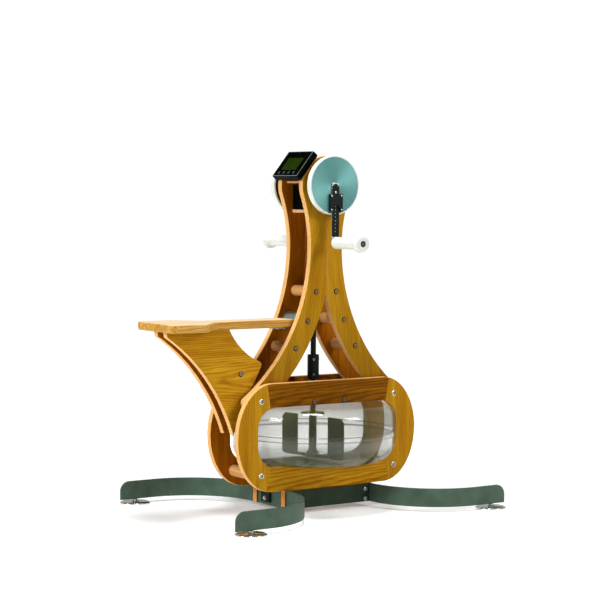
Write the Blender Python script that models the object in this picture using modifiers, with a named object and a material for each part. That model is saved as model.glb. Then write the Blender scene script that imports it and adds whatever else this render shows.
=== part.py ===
"""Water grinder ergometer: a hand-crank trainer on a wooden frame round a water tank.

Units are metres. +Z is up, X runs fore and aft with the seat at -X, and Y runs
across with the near side at -Y. Sizes below are measured from the upright line
through the crank axle, and one empty then moves the whole machine along X so
that the middle of its footprint is the origin.
"""
import math

import bmesh
import bpy

# Fits between pieces, small chamfers and the facets of turned pieces
GAP = 0.0003
RUNNING_GAP = 0.00004
LOOSE = 0.002
MERGE = 0.00001
CHAMFER = 0.001
TURNED_SIDES = 24

# Frame: bows and tank panels, all cut from the same board
BOARD = 0.022
BOW_Y = 0.0603
PANEL_Y = BOW_Y + BOARD + GAP
BOW_INNER_Y = BOW_Y - BOARD / 2
BOW_OUTER_Y = BOW_Y + BOARD / 2
PANEL_INNER_Y = PANEL_Y - BOARD / 2
PANEL_OUTER_Y = PANEL_Y + BOARD / 2
AXLE_Z = 1.055
HEAD_Z = 1.0535
HEAD_R = 0.0962
NECK_HALF = 0.0618
NECK_Z = 0.857
LEG_R = 0.5895
LEG_INNER_X = 0.6195
LEG_INNER_Z = 0.859
LEG_INNER_R = 0.6377
BOW_FOOT_Z = 0.3486
BOW_FOOT_R = 0.016
PANEL_STRAIGHT = 0.221
PANEL_END = 0.130
PANEL_Z = 0.250
PANEL_HALF_Z = 0.1735
WINDOW_HALF = 0.274
WINDOW_LOW_Z = 0.155
WINDOW_HIGH_Z = 0.346
WINDOW_R = 0.066

# Rungs between the side frames, as (x, z) of their middles
RUNG_R = 0.0175
RUNGS = {
    "neck_rung_front": (-0.040, 0.711),
    "neck_rung_rear": (0.040, 0.711),
    "middle_rung_rear": (0.072, 0.6175),
    "lower_rung_front": (-0.118, 0.5305),
    "lower_rung_rear": (0.118, 0.5305),
}
SEAT_TUBE = (-0.072, 0.6175)
SEAT_TUBE_R = 0.022
TANK_RUNG_R = 0.019
TANK_RUNG_X = 0.2625
TANK_RUNG_TOP_Z = 0.3675
TANK_RUNG_LOW_Z = 0.130

# Water tank
TANK_R = 0.267
FLANGE_R = 0.271
FLANGE_LOW_Z = 0.241
FLANGE_HIGH_Z = 0.257
SEAM_Z = 0.249
TANK_TOP_Z = 0.3445
TANK_LOW_Z = 0.1556
TOP_SHOULDER = 0.043
LOW_SHOULDER = 0.052
TANK_WALL = 0.003
TANK_HOLE_R = 0.0145
TANK_BUSH_R = 0.030
TANK_SPIGOT = 0.009
HANGER = 0.018
HANGER_HALF = 0.080
HANGER_Z = 0.357

# Drive from the axle to the paddle
AXLE_R = 0.010
SHAFT_R = 0.009
COUPLING_R = 0.019
COUPLING_LOW_Z = 0.421
COUPLING_HIGH_Z = 0.501
SHAFT_SPLIT_Z = 0.461
SHAFT_TOP_Z = 1.030
SLEEVE_R = 0.013
PADDLE_DISC_R = 0.0385
PADDLE_DISC_Z = (0.304, 0.311)
PADDLE_LOW_Z = 0.163
PADDLE_TOP_Z = 0.300
BLADE_INNER_R = 0.071
BLADE_OUTER_R = 0.144
BLADE_THICK = 0.004
BLADE_CHAMFER = 0.014
BLADE_CORNER_R = 0.016
PADDLE_COLLAR = 0.016
PADDLE_COLLAR_R = 0.022
PADDLE_ARM = 0.010
PADDLE_ARM_HALF = 0.006
PADDLE_TURN = math.radians(99.7)
GEAR_MODULE = 0.0025
WHEEL_TEETH = 24
PINION_TEETH = 16
PRESSURE_ANGLE = math.radians(20)
BACKLASH = 0.0003
GEAR_FACE_SHARE = 0.30
WHEEL_HUB_R = 0.017
WHEEL_HUB = 0.012
PINION_HUB_R = 0.0125
PINION_HUB = 0.014

# Gearbox and the boards in the head
HOUSING_HALF = 0.060
HOUSING_HALF_Y = 0.036
HOUSING_WALL = 0.003
HOUSING_LOW_Z = 0.9763
HOUSING_STEP_Z = 1.055
HOUSING_TOP_Z = 1.098
HOUSING_TOP_HALF = 0.0375
GEARBOX_BOARD_Z = 0.971
GEARBOX_BOARD_HALF = 0.053
GEARBOX_BOARD = 0.010
CONSOLE_BOARD_X = (-0.076, -0.038)
CONSOLE_BOARD_Z = 1.065
CONSOLE_BOARD = 0.007
BEARING_R = 0.021
BEARING_FLANGE_R = 0.034
BEARING_FLANGE = 0.008

# Crank drums, clamps, arms and grips, as distances from the middle plane
DRUM_R = 0.0953
DRUM_Y = (0.095, 0.116)
DRUM_RECESS_R = 0.0914
DRUM_RECESS = 0.001
DRUM_EDGE = 0.0015
ARM_Y = (0.1163, 0.1213)
ARM_HALF = 0.01375
ARM_TOP_Z = 1.0615
ARM_CORNER = 0.0015
ARM_HOLE_R = 0.0028
ARM_HOLE_TOP_Z = 0.988
ARM_HOLE_PITCH = 0.01157
ARM_HOLES = 8
ARM_UPPER_HOLE_Z = 1.032
CLAMP_HALF = 0.024
CLAMP_Z = (0.9695, 1.027)
CLAMP_OUTER_Y = 0.127
CLAMP_CORNER = 0.003
CLAMP_NOTCH_HALF = 0.0143
CLAMP_TOP_NOTCH = 0.008
CLAMP_LOW_NOTCH = 0.0255
CLAMP_LOW_NOTCH_SIDE = 0.0085
GRIP_Z = 0.870
GRIP_Y = (0.1240, 0.271)
GRIP_R = 0.019
GRIP_COLLAR_R = 0.0195
GRIP_COLLAR = 0.012
GRIP_KNOB_R = 0.028
GRIP_KNOB_EDGE = 0.009
GRIP_FLARE = (0.016, 0.040)
GRIP_RECESS_R = 0.0125
GRIP_RECESS = 0.0033
SPINDLE_R = 0.006
SPINDLE_END_Y = 0.2675

# Console, in its own tilted frame: x up its slope, z out of its face
CONSOLE_FACE = (-0.0867, 0.0, 1.1248)
CONSOLE_TILT = math.radians(50.6)
CONSOLE_HALF_WIDTH = 0.071
CONSOLE_HALF_SLOPE = 0.0525
CONSOLE_DEPTH = 0.022
CONSOLE_RIDGE = 0.0045
CONSOLE_EDGE = 0.002
LENS_SIZE = (0.051, 0.086, 0.0014)
LENS_X = -0.0014
BUTTON_X = -0.0388
BUTTON_STEP = 0.0276
BUTTON_R = 0.0055
BUTTON_LENGTH = 0.005
BUTTON_PROUD = 0.0018
BUTTON_WELL = 0.0062

# Seat
SEAT_LOW_Z = 0.597
SEAT_THICK = 0.026
SEAT_REAR_X = -0.604
SEAT_FRONT_X = -0.105
SEAT_HALF = 0.118
SEAT_NECK_HALF = 0.043
SEAT_CORNER_R = 0.028
SEAT_TAPER_X = (-0.490, -0.390)
BRACKET_Y = 0.028
BRACKET_TOP_X = (-0.581, -0.3485)
BRACKET_REAR = (-0.9152, 0.0691)
BRACKET_REAR_R = 0.612
BRACKET_FRONT = (-0.1456, 0.7011)
BRACKET_FRONT_R = 0.2289
BRACKET_NOSE_X = -0.237
BRACKET_NOSE_R = 0.010
BRACKET_TIP = (-0.3325, 0.261)
BRACKET_CORNER_Z = 0.580
SEAT_EDGE = 0.003
SEAT_SPACER = (-0.307, 0.454)
SEAT_SPACER_R = 0.0125
HOOK_THICK = 0.004
HOOK_HALF = 0.030
HOOK_TONGUE_X = -0.168
HOOK_BEND_R = 0.006
HOOK_END = -45

# Base
LEG_BAR = 0.008
LEG_BAR_Z = (0.016, 0.076)
LEG_BAR_X = 0.164
LEG_BAR_FLAT = 0.112
LEG_BEND_R = 0.240
LEG_BAR_END = 0.524
LEG_END_CORNER = 0.032
BASE_RAIL_HALF = 0.172
BASE_RAIL_Z = (0.018, 0.0762)
LAP_Z = 0.046
SIDE_PLATE_HALF = 0.1597
SIDE_PLATE_THICK = 0.0045
SIDE_PLATE_Z = (0.016, 0.074)
FOOT_X = 0.469
FOOT_Y = LEG_BAR_FLAT + LEG_BEND_R
FOOT_R = 0.050
FOOT_PAD = (0.005, 0.008, 0.010)
FOOT_STEM_R = 0.008

# The footprint runs from the seat's outer end to the ends of the rear leg bar
AXLE_LINE_X = -(SEAT_REAR_X + LEG_BAR_END) / 2

# Colour, roughness and metallic value of each kind of surface
FINISHES = {
    "oak": ((0.52, 0.27, 0.08), 0.45, 0.0),
    "dark_oak": ((0.46, 0.22, 0.06), 0.45, 0.0),
    "light_wood": ((0.62, 0.36, 0.16), 0.5, 0.0),
    "steel": ((0.25, 0.29, 0.28), 0.45, 0.9),
    "bright_steel": ((0.62, 0.62, 0.60), 0.3, 1.0),
    "chrome": ((0.75, 0.75, 0.72), 0.12, 1.0),
    "clear": ((0.80, 0.85, 0.80), 0.08, 0.0),
    "black_plastic": ((0.02, 0.02, 0.02), 0.3, 0.0),
    "display": ((0.06, 0.08, 0.02), 0.15, 0.0),
    "grey_button": ((0.10, 0.10, 0.11), 0.4, 0.0),
    "white_plastic": ((0.85, 0.86, 0.84), 0.35, 0.0),
    "dark_steel": ((0.08, 0.09, 0.09), 0.4, 0.8),
    "paddle": ((0.20, 0.26, 0.25), 0.35, 0.3),
}

SIDES = {"near": -1, "far": 1}
ENDS = {"front": -1, "rear": 1}


# Scene and small helpers

def clear_scene():
    for thing in list(bpy.data.objects):
        bpy.data.objects.remove(thing, do_unlink=True)


def new_collection(name):
    collection = bpy.data.collections.new(name)
    bpy.context.scene.collection.children.link(collection)
    return collection


def spaced(start, end, steps):
    return [start + (end - start) * i / steps for i in range(steps + 1)]


def arc(centre, radius, start, end, steps):
    """Points of an arc from start to end degrees, both included."""
    angles = [math.radians(a) for a in spaced(start, end, steps)]
    return [(centre[0] + radius * math.cos(a), centre[1] + radius * math.sin(a)) for a in angles]


def direction(start, end):
    """Angle in degrees of the line from one point to another."""
    return math.degrees(math.atan2(end[1] - start[1], end[0] - start[0]))


def mirrored(points):
    return [(-x, y) for x, y in reversed(points)]


def circle(centre, radius, steps):
    return arc(centre, radius, 0, 360, steps)[:-1]


def rectangle(x_low, x_high, y_low, y_high):
    return [(x_low, y_low), (x_high, y_low), (x_high, y_high), (x_low, y_high)]


def outside_radius(radius, sides):
    """Corner radius of a hole with this many sides that clears a round of this radius."""
    return (radius + RUNNING_GAP) / math.cos(math.pi / sides)


def finish(piece, kind):
    colour, roughness, metallic = FINISHES[kind]
    material = bpy.data.materials.new(piece.name)
    material.use_nodes = True
    material.diffuse_color = (*colour, 1.0)
    shader = material.node_tree.nodes["Principled BSDF"]
    shader.inputs["Base Color"].default_value = (*colour, 1.0)
    shader.inputs["Roughness"].default_value = roughness
    shader.inputs["Metallic"].default_value = metallic
    piece.data.materials.append(material)


def empty(name, location, parent=None, turn=(0, 0, 0)):
    marker = bpy.data.objects.new(name, None)
    marker.location = location
    marker.rotation_euler = turn
    marker.parent = parent
    PARTS.objects.link(marker)
    return marker


def new_piece(name, mesh, collection):
    piece = bpy.data.objects.new(name, mesh)
    collection.objects.link(piece)
    return piece


def place(piece, kind, carrier, location=(0, 0, 0)):
    """Give a piece its surface and hang it on an empty, at a place measured like the machine."""
    finish(piece, kind)
    piece.parent = carrier
    base = CARRIER_AT[carrier.name]
    piece.location = [location[i] - base[i] for i in range(3)]
    return piece


def mesh_from(name, build):
    """A mesh filled by a function that works on an empty bmesh."""
    mesh = bpy.data.meshes.new(name)
    shape = bmesh.new()
    build(shape)
    shape.to_mesh(mesh)
    shape.free()
    return mesh


def flat_mesh(name, loops, thickness):
    """A board of this thickness with the given outline and holes, lying in its own XY plane."""
    curve = bpy.data.curves.new(name, "CURVE")
    curve.dimensions = "2D"
    curve.fill_mode = "BOTH"
    curve.extrude = thickness / 2
    for loop in loops:
        spline = curve.splines.new("POLY")
        spline.points.add(len(loop) - 1)
        for point, (x, y) in zip(spline.points, loop):
            point.co = (x, y, 0, 1)
        spline.use_cyclic_u = True
    outline = bpy.data.objects.new(name, curve)
    bpy.context.scene.collection.objects.link(outline)
    bpy.context.view_layer.update()
    graph = bpy.context.evaluated_depsgraph_get()
    mesh = bpy.data.meshes.new_from_object(outline.evaluated_get(graph), depsgraph=graph)
    bpy.data.objects.remove(outline, do_unlink=True)
    bpy.data.curves.remove(curve)
    shape = bmesh.new()
    shape.from_mesh(mesh)
    bmesh.ops.remove_doubles(shape, verts=shape.verts, dist=MERGE)
    shape.to_mesh(mesh)
    shape.free()
    mesh.name = name
    return mesh


def board(name, loops, thickness, collection=None):
    """A board standing in the XZ plane: outlines are (x, z) and the thickness runs along Y."""
    piece = new_piece(name, flat_mesh(name, loops, thickness), collection or PARTS)
    piece.rotation_euler = (math.pi / 2, 0, 0)
    return piece


def slab(name, loops, thickness):
    """A board lying flat: outlines are (x, y) and the thickness runs along Z."""
    return new_piece(name, flat_mesh(name, loops, thickness), PARTS)


def box(name, low, high, collection=None):
    """A box between two corners, with its origin at the carrier's."""
    def build(shape):
        bmesh.ops.create_cube(shape, size=1)
        for vert in shape.verts:
            vert.co = [low[i] + (high[i] - low[i]) * (vert.co[i] + 0.5) for i in range(3)]
    return new_piece(name, mesh_from(name, build), collection or PARTS)


def turned(name, profile, sides, ring=False, collection=None):
    """A turned solid about Z. The profile is (radius, z) down the outer side."""
    def build(shape):
        verts = [shape.verts.new((r, 0, z)) for r, z in profile]
        for first, second in zip(verts, verts[1:]):
            shape.edges.new((first, second))
        if ring:
            shape.edges.new((verts[-1], verts[0]))
    mesh = mesh_from(name, build)
    piece = new_piece(name, mesh, collection or PARTS)
    screw = piece.modifiers.new("turn", "SCREW")
    screw.steps = sides
    screw.render_steps = sides
    screw.use_merge_vertices = True
    screw.merge_threshold = MERGE
    screw.use_smooth_shade = True
    weld = piece.modifiers.new("close", "WELD")
    weld.merge_threshold = MERGE
    return piece


def rod_profile(radius, low, high):
    """Half section of a rod about Z with both ends chamfered."""
    return [
        (0, high),
        (radius - CHAMFER, high),
        (radius, high - CHAMFER),
        (radius, low + CHAMFER),
        (radius - CHAMFER, low),
        (0, low),
    ]


def drum_cut(radius, low, high):
    """Half section of a plain round cutter or hub about Z."""
    return [(0, high), (radius, high), (radius, low), (0, low)]


def rod_across(name, radius, half_length, sides, collection=None):
    """A rod along Y, centred on the middle plane."""
    rod = turned(name, rod_profile(radius, -half_length, half_length), sides, collection=collection)
    rod.rotation_euler = (math.pi / 2, 0, 0)
    return rod


def outward(piece, side):
    """Turn a piece made along +Z so that it runs outward along the given side's Y."""
    piece.rotation_euler = (-side * math.pi / 2, 0, 0)
    return piece


def as_cutter(piece):
    piece.hide_render = True
    piece.display_type = "WIRE"
    return piece


def combine(piece, other, operation="DIFFERENCE"):
    boolean = piece.modifiers.new(other.name, "BOOLEAN")
    boolean.operation = operation
    boolean.solver = "EXACT"
    boolean.object = as_cutter(other)


def chamfer_edges(piece, width):
    bevel = piece.modifiers.new("edges", "BEVEL")
    bevel.width = width
    bevel.segments = 1
    bevel.limit_method = "ANGLE"
    bevel.angle_limit = math.radians(50)


# Side frames

def console_flat_angles():
    """Start and end of the flat behind the console, on the head circle of the mirrored outline."""
    along_x = -CONSOLE_FACE[0] * math.sin(CONSOLE_TILT)
    along_z = (CONSOLE_FACE[2] - HEAD_Z) * math.cos(CONSOLE_TILT)
    distance = along_x + along_z - CONSOLE_DEPTH - GAP
    half = math.degrees(math.acos(distance / HEAD_R))
    middle = 90 - math.degrees(CONSOLE_TILT)
    return middle + half, middle - half


def bow_outline(front):
    """Outline of one bow in (x, z) with x positive; the front bow is its mirror image."""
    neck_r = (NECK_HALF ** 2 + (HEAD_Z - NECK_Z) ** 2 - HEAD_R ** 2) / (2 * (HEAD_R - NECK_HALF))
    head = (0, HEAD_Z)
    neck = (NECK_HALF + neck_r, NECK_Z)
    leg = (NECK_HALF + LEG_R, NECK_Z)
    inner = (LEG_INNER_X, LEG_INNER_Z)
    corner_z = BOW_FOOT_Z + BOW_FOOT_R
    outer_x = leg[0] - math.sqrt((LEG_R + BOW_FOOT_R) ** 2 - (leg[1] - corner_z) ** 2)
    inner_x = inner[0] - math.sqrt((LEG_INNER_R - BOW_FOOT_R) ** 2 - (inner[1] - corner_z) ** 2)
    outer_corner = (outer_x, corner_z)
    inner_corner = (inner_x, corner_z)
    seam = GAP / 2
    bore = BEARING_R + GAP
    bore_angle = math.degrees(math.acos(seam / bore))
    waist_angle = direction(head, neck)
    top_angle = math.degrees(math.acos(seam / HEAD_R))
    apex_angle = 180 + math.degrees(math.acos((inner[0] - seam) / LEG_INNER_R))
    points = arc((0, AXLE_Z), bore, -bore_angle, bore_angle, 10)
    if front:
        flat_start, flat_end = console_flat_angles()
        points += arc(head, HEAD_R, top_angle, flat_start, 5)
        points += arc(head, HEAD_R, flat_end, waist_angle, 6)
    else:
        points += arc(head, HEAD_R, top_angle, waist_angle, 14)
    points += arc(neck, neck_r, direction(neck, head), 180, 5)[1:]
    points += arc(leg, LEG_R, 180, 360 + direction(leg, outer_corner), 12)[1:]
    points += arc(outer_corner, BOW_FOOT_R, direction(outer_corner, leg), -90, 5)[1:]
    inner_start = 360 + direction(inner, inner_corner)
    points += arc(inner_corner, BOW_FOOT_R, 270, inner_start, 3)
    points += arc(inner, LEG_INNER_R, inner_start, apex_angle, 12)[1:]
    return points


def make_bows():
    for side_name, side in SIDES.items():
        for end_name in ENDS:
            outline = bow_outline(end_name == "front")
            if end_name == "front":
                outline = mirrored(outline)
            bow = board(f"{side_name}_{end_name}_bow", [outline], BOARD)
            place(bow, "oak", MACHINE, (0, side * BOW_Y, 0))


def make_tank_panels():
    end = [
        (PANEL_STRAIGHT + PANEL_END * math.cos(a), PANEL_Z + PANEL_HALF_Z * math.sin(a))
        for a in spaced(-math.pi / 2, math.pi / 2, 20)
    ]
    outline = end + mirrored(end)
    low, high = WINDOW_LOW_Z + WINDOW_R, WINDOW_HIGH_Z - WINDOW_R
    middle = WINDOW_HALF - WINDOW_R
    window_end = arc((middle, low), WINDOW_R, -90, 0, 6) + arc((middle, high), WINDOW_R, 0, 90, 6)
    window = window_end + mirrored(window_end)
    for side_name, side in SIDES.items():
        panel = board(f"{side_name}_tank_panel", [outline, window], BOARD)
        place(panel, "oak", MACHINE, (0, side * PANEL_Y, 0))


def make_rungs():
    for name, (x, z) in RUNGS.items():
        rung = rod_across(name, RUNG_R, BOW_INNER_Y - GAP, 16)
        place(rung, "light_wood", MACHINE, (x, 0, z))
    tube = rod_across("seat_tube", SEAT_TUBE_R, BOW_INNER_Y - GAP, 24)
    place(tube, "bright_steel", MACHINE, (SEAT_TUBE[0], 0, SEAT_TUBE[1]))
    for end_name, end in ENDS.items():
        top = rod_across(f"tank_rung_top_{end_name}", TANK_RUNG_R, BOW_INNER_Y - GAP, 18)
        place(top, "light_wood", MACHINE, (end * TANK_RUNG_X, 0, TANK_RUNG_TOP_Z))
        low = rod_across(f"tank_rung_low_{end_name}", TANK_RUNG_R, PANEL_INNER_Y - GAP, 18)
        place(low, "light_wood", MACHINE, (end * TANK_RUNG_X, 0, TANK_RUNG_LOW_Z))


# Water tank

def make_tank():
    lip = FLANGE_R - TANK_R
    top = [(TANK_HOLE_R, TANK_TOP_Z)]
    top += arc((TANK_R - TOP_SHOULDER, TANK_TOP_Z - TOP_SHOULDER), TOP_SHOULDER, 90, 0, 4)
    top += [(TANK_R, FLANGE_HIGH_Z + lip), (FLANGE_R, FLANGE_HIGH_Z), (FLANGE_R, SEAM_Z + GAP / 2)]
    low = [(FLANGE_R, SEAM_Z - GAP / 2), (FLANGE_R, FLANGE_LOW_Z), (TANK_R, FLANGE_LOW_Z - lip)]
    low += arc((TANK_R - LOW_SHOULDER, TANK_LOW_Z + LOW_SHOULDER), LOW_SHOULDER, 0, -90, 5)
    low += [(0, TANK_LOW_Z)]
    for name, profile in (("tank_upper_shell", top), ("tank_lower_shell", low)):
        shell = turned(name, profile, 44)
        wall = shell.modifiers.new("wall", "SOLIDIFY")
        wall.thickness = TANK_WALL
        wall.offset = -1
        wall.use_even_offset = True
        place(shell, "clear", MACHINE)


def make_tank_top():
    bore = outside_radius(SHAFT_R, TURNED_SIDES)
    flange_high = HANGER_Z - HANGER / 2 - GAP
    flange_low = TANK_TOP_Z + GAP
    spigot_r = TANK_HOLE_R - GAP
    profile = [
        (bore, flange_high),
        (TANK_BUSH_R, flange_high),
        (TANK_BUSH_R, flange_low),
        (spigot_r, flange_low),
        (spigot_r, flange_low - TANK_SPIGOT),
        (bore, flange_low - TANK_SPIGOT),
    ]
    place(turned("tank_top_bearing", profile, TURNED_SIDES, ring=True), "black_plastic", MACHINE)
    loops = [rectangle(-HANGER_HALF, HANGER_HALF, -PANEL_INNER_Y + GAP, PANEL_INNER_Y - GAP)]
    loops.append(circle((0, 0), SHAFT_R + LOOSE, 20))
    hanger = slab("tank_hanger", loops, HANGER)
    place(hanger, "dark_oak", MACHINE, (0, 0, HANGER_Z))


# Base

def leg_path():
    """Middle line of the rear leg bar in (x, y), from the near end to the far end."""
    near = [(LEG_BAR_END, -FOOT_Y)]
    near += [(LEG_BAR_END - LEG_END_CORNER * (1 - math.cos(a)), -FOOT_Y)
             for a in spaced(math.radians(30), math.radians(90), 3)]
    near += arc((LEG_BAR_X + LEG_BEND_R, -LEG_BAR_FLAT), LEG_BEND_R, 270, 180, 12)
    return near + [(x, -y) for x, y in reversed(near)]


def make_leg_bars():
    low, high = LEG_BAR_Z

    def top_z(x):
        """The bar's upper corners are rounded at its two ends."""
        into_corner = max(0.0, x - (LEG_BAR_END - LEG_END_CORNER))
        return high - LEG_END_CORNER + math.sqrt(max(0.0, LEG_END_CORNER ** 2 - into_corner ** 2))

    def build(shape):
        rows = [(shape.verts.new((x, y, low)), shape.verts.new((x, y, top_z(x)))) for x, y in leg_path()]
        for (a, b), (c, d) in zip(rows, rows[1:]):
            shape.faces.new((a, c, d, b))

    for end_name, end in ENDS.items():
        bar = new_piece(f"{end_name}_leg_bar", mesh_from("leg_bar", build), PARTS)
        if end < 0:
            bar.rotation_euler = (0, 0, math.pi)
        wall = bar.modifiers.new("thickness", "SOLIDIFY")
        wall.thickness = LEG_BAR
        wall.offset = 0
        wall.use_even_offset = True
        for side_name, side in SIDES.items():
            inside, outside = sorted((side * (PANEL_INNER_Y - GAP), side * (PANEL_OUTER_Y + GAP)))
            notch = box(
                f"lap_{end_name}_{side_name}",
                (end * LEG_BAR_X + AXLE_LINE_X - LEG_BAR, inside, LAP_Z),
                (end * LEG_BAR_X + AXLE_LINE_X + LEG_BAR, outside, high + LEG_BAR),
                CUTTERS,
            )
            combine(bar, notch)
        place(bar, "steel", MACHINE)


def make_base_rails():
    low, high = BASE_RAIL_Z
    slot_half = LEG_BAR / 2 + GAP
    lap = LAP_Z + GAP
    half = [
        (LEG_BAR_X - slot_half, low),
        (LEG_BAR_X - slot_half, lap),
        (LEG_BAR_X + slot_half, lap),
        (LEG_BAR_X + slot_half, low),
        (BASE_RAIL_HALF, low),
        (BASE_RAIL_HALF, high),
    ]
    outline = half + mirrored(half)
    for side_name, side in SIDES.items():
        rail = board(f"{side_name}_base_rail", [outline], BOARD)
        place(rail, "oak", MACHINE, (0, side * PANEL_Y, 0))
        inside = side * (PANEL_OUTER_Y + GAP)
        outside = inside + side * SIDE_PLATE_THICK
        plate = box(
            f"{side_name}_side_plate",
            (-SIDE_PLATE_HALF, min(inside, outside), SIDE_PLATE_Z[0]),
            (SIDE_PLATE_HALF, max(inside, outside), SIDE_PLATE_Z[1]),
        )
        place(plate, "steel", MACHINE)


def make_feet():
    top = LEG_BAR_Z[0] - GAP
    profile = [
        (0, top),
        (FOOT_STEM_R, top),
        (FOOT_STEM_R, FOOT_PAD[2]),
        (FOOT_R - FOOT_PAD[0], FOOT_PAD[1]),
        (FOOT_R, FOOT_PAD[0]),
        (FOOT_R, 0),
        (0, 0),
    ]
    for side_name, side in SIDES.items():
        for end_name, end in ENDS.items():
            foot = turned(f"{side_name}_{end_name}_foot", profile, TURNED_SIDES)
            place(foot, "chrome", MACHINE, (end * FOOT_X, side * FOOT_Y, 0))


# Gears

def involute(angle):
    return math.tan(angle) - angle


def bevel_gear(name, teeth, mate_teeth, first_tooth, collection):
    """Straight bevel gear about Z with its cone's apex at the origin and its teeth facing up."""
    cone = math.atan2(teeth, mate_teeth)
    pitch_r = GEAR_MODULE * teeth / 2
    pitch_z = GEAR_MODULE * mate_teeth / 2
    back_r = pitch_r / math.cos(cone)
    base_r = back_r * math.cos(PRESSURE_ANGLE)
    tooth_half = (math.pi * GEAR_MODULE / 2 - BACKLASH) / (2 * back_r)
    root = -1.25 * GEAR_MODULE
    heights = [root, 0, GEAR_MODULE]
    flank = []
    for height in heights:
        rolled = math.acos(base_r / max(base_r, back_r + height))
        half = (tooth_half + involute(PRESSURE_ANGLE) - involute(rolled)) * (back_r + height)
        radius = pitch_r + height * math.cos(cone)
        flank.append((radius, -pitch_z + height * math.sin(cone), half / radius))
    outline = []
    for tooth in range(teeth):
        middle = first_tooth + 2 * math.pi * tooth / teeth
        sides = [(r, z, middle - half) for r, z, half in flank]
        sides += [(r, z, middle + half) for r, z, half in reversed(flank)]
        outline += [(r * math.cos(a), r * math.sin(a), z) for r, z, a in sides]

    def build(shape):
        large = [shape.verts.new(point) for point in outline]
        small_share = 1 - GEAR_FACE_SHARE
        small = [shape.verts.new([small_share * value for value in point]) for point in outline]
        large_middle = shape.verts.new((0, 0, flank[0][1]))
        small_middle = shape.verts.new((0, 0, flank[0][1] * small_share))
        for i in range(len(outline)):
            j = (i + 1) % len(outline)
            shape.faces.new((large[i], large[j], small[j], small[i]))
            shape.faces.new((large[j], large[i], large_middle))
            shape.faces.new((small[i], small[j], small_middle))

    return new_piece(name, mesh_from(name, build), collection)


def make_gears():
    wheel_back = GEAR_MODULE * PINION_TEETH / 2
    wheel = bevel_gear("bevel_wheel", WHEEL_TEETH, PINION_TEETH, -math.pi / 2, PARTS)
    wheel.rotation_euler = (math.pi / 2, 0, 0)
    place(wheel, "dark_steel", CRANK, (0, 0, AXLE_Z))
    hub = turned("wheel_hub", drum_cut(WHEEL_HUB_R, wheel_back, wheel_back + WHEEL_HUB), TURNED_SIDES,
                 collection=CUTTERS)
    bore = turned("wheel_bore", drum_cut(AXLE_R + GAP, 0, 3 * wheel_back), TURNED_SIDES, collection=CUTTERS)
    for cutter in (hub, bore):
        outward(cutter, 1)
        cutter.location = (AXLE_LINE_X, 0, AXLE_Z)
    combine(wheel, hub, "UNION")
    combine(wheel, bore)

    pinion_back = AXLE_Z - GEAR_MODULE * WHEEL_TEETH / 2
    half_pitch = math.pi / PINION_TEETH
    pinion = bevel_gear("bevel_pinion", PINION_TEETH, WHEEL_TEETH, math.pi / 2 + half_pitch, PARTS)
    place(pinion, "dark_steel", DRIVE, (0, 0, AXLE_Z))
    hub = turned("pinion_hub", drum_cut(PINION_HUB_R, pinion_back - PINION_HUB, pinion_back), TURNED_SIDES,
                 collection=CUTTERS)
    bore = turned("pinion_bore", drum_cut(SHAFT_R + GAP, pinion_back - 2 * PINION_HUB, AXLE_Z), 20,
                  collection=CUTTERS)
    for cutter in (hub, bore):
        cutter.location = (AXLE_LINE_X, 0, 0)
    combine(pinion, hub, "UNION")
    combine(pinion, bore)


# Drive shaft, coupling and paddle

def make_drive():
    shaft = turned("drive_shaft", rod_profile(SHAFT_R, SHAFT_SPLIT_Z + GAP / 2, SHAFT_TOP_Z), 20)
    place(shaft, "dark_steel", DRIVE)
    bore = SHAFT_R + GAP
    profile = rod_profile(COUPLING_R, COUPLING_LOW_Z, COUPLING_HIGH_Z)
    profile[0], profile[-1] = (bore, COUPLING_HIGH_Z), (bore, COUPLING_LOW_Z)
    place(turned("shaft_coupling", profile, TURNED_SIDES, ring=True), "dark_steel", DRIVE)


def blade_outline():
    """One upright blade in (x, z): square to the arm below, cut off above, rounded below."""
    foot = PADDLE_LOW_Z + BLADE_CORNER_R
    outline = [(BLADE_INNER_R, PADDLE_LOW_Z)]
    outline += arc((BLADE_OUTER_R - BLADE_CORNER_R, foot), BLADE_CORNER_R, -90, 0, 4)
    outline += [
        (BLADE_OUTER_R, PADDLE_TOP_Z - BLADE_CHAMFER),
        (BLADE_OUTER_R - BLADE_CHAMFER, PADDLE_TOP_Z),
        (BLADE_INNER_R, PADDLE_TOP_Z),
    ]
    return outline


def make_paddle():
    top = SHAFT_SPLIT_Z - GAP / 2
    collar_z = PADDLE_LOW_Z + PADDLE_COLLAR
    profile = [
        (0, top),
        (SHAFT_R, top),
        (SHAFT_R, PADDLE_DISC_Z[1]),
        (PADDLE_DISC_R, PADDLE_DISC_Z[1]),
        (PADDLE_DISC_R, PADDLE_DISC_Z[0]),
        (SLEEVE_R, PADDLE_DISC_Z[0]),
        (SLEEVE_R, collar_z + PADDLE_COLLAR_R - SLEEVE_R),
        (PADDLE_COLLAR_R, collar_z),
        (PADDLE_COLLAR_R, PADDLE_LOW_Z),
        (0, PADDLE_LOW_Z),
    ]
    paddle = turned("paddle", profile, TURNED_SIDES)
    place(paddle, "paddle", DRIVE)
    arm_reach = BLADE_INNER_R + PADDLE_ARM_HALF
    arms = box("paddle_arms", (-arm_reach, -PADDLE_ARM_HALF, PADDLE_LOW_Z + CHAMFER),
               (arm_reach, PADDLE_ARM_HALF, PADDLE_LOW_Z + CHAMFER + PADDLE_ARM), CUTTERS)
    blades = [board(f"blade_{i}", [outline], BLADE_THICK, CUTTERS)
              for i, outline in enumerate((blade_outline(), mirrored(blade_outline())))]
    arms.rotation_euler = (0, 0, PADDLE_TURN)
    for blade in blades:
        blade.rotation_euler = (math.pi / 2, 0, PADDLE_TURN)
    for piece in [arms] + blades:
        piece.location = (AXLE_LINE_X, 0, 0)
        combine(paddle, piece, "UNION")


# Gearbox

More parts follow.
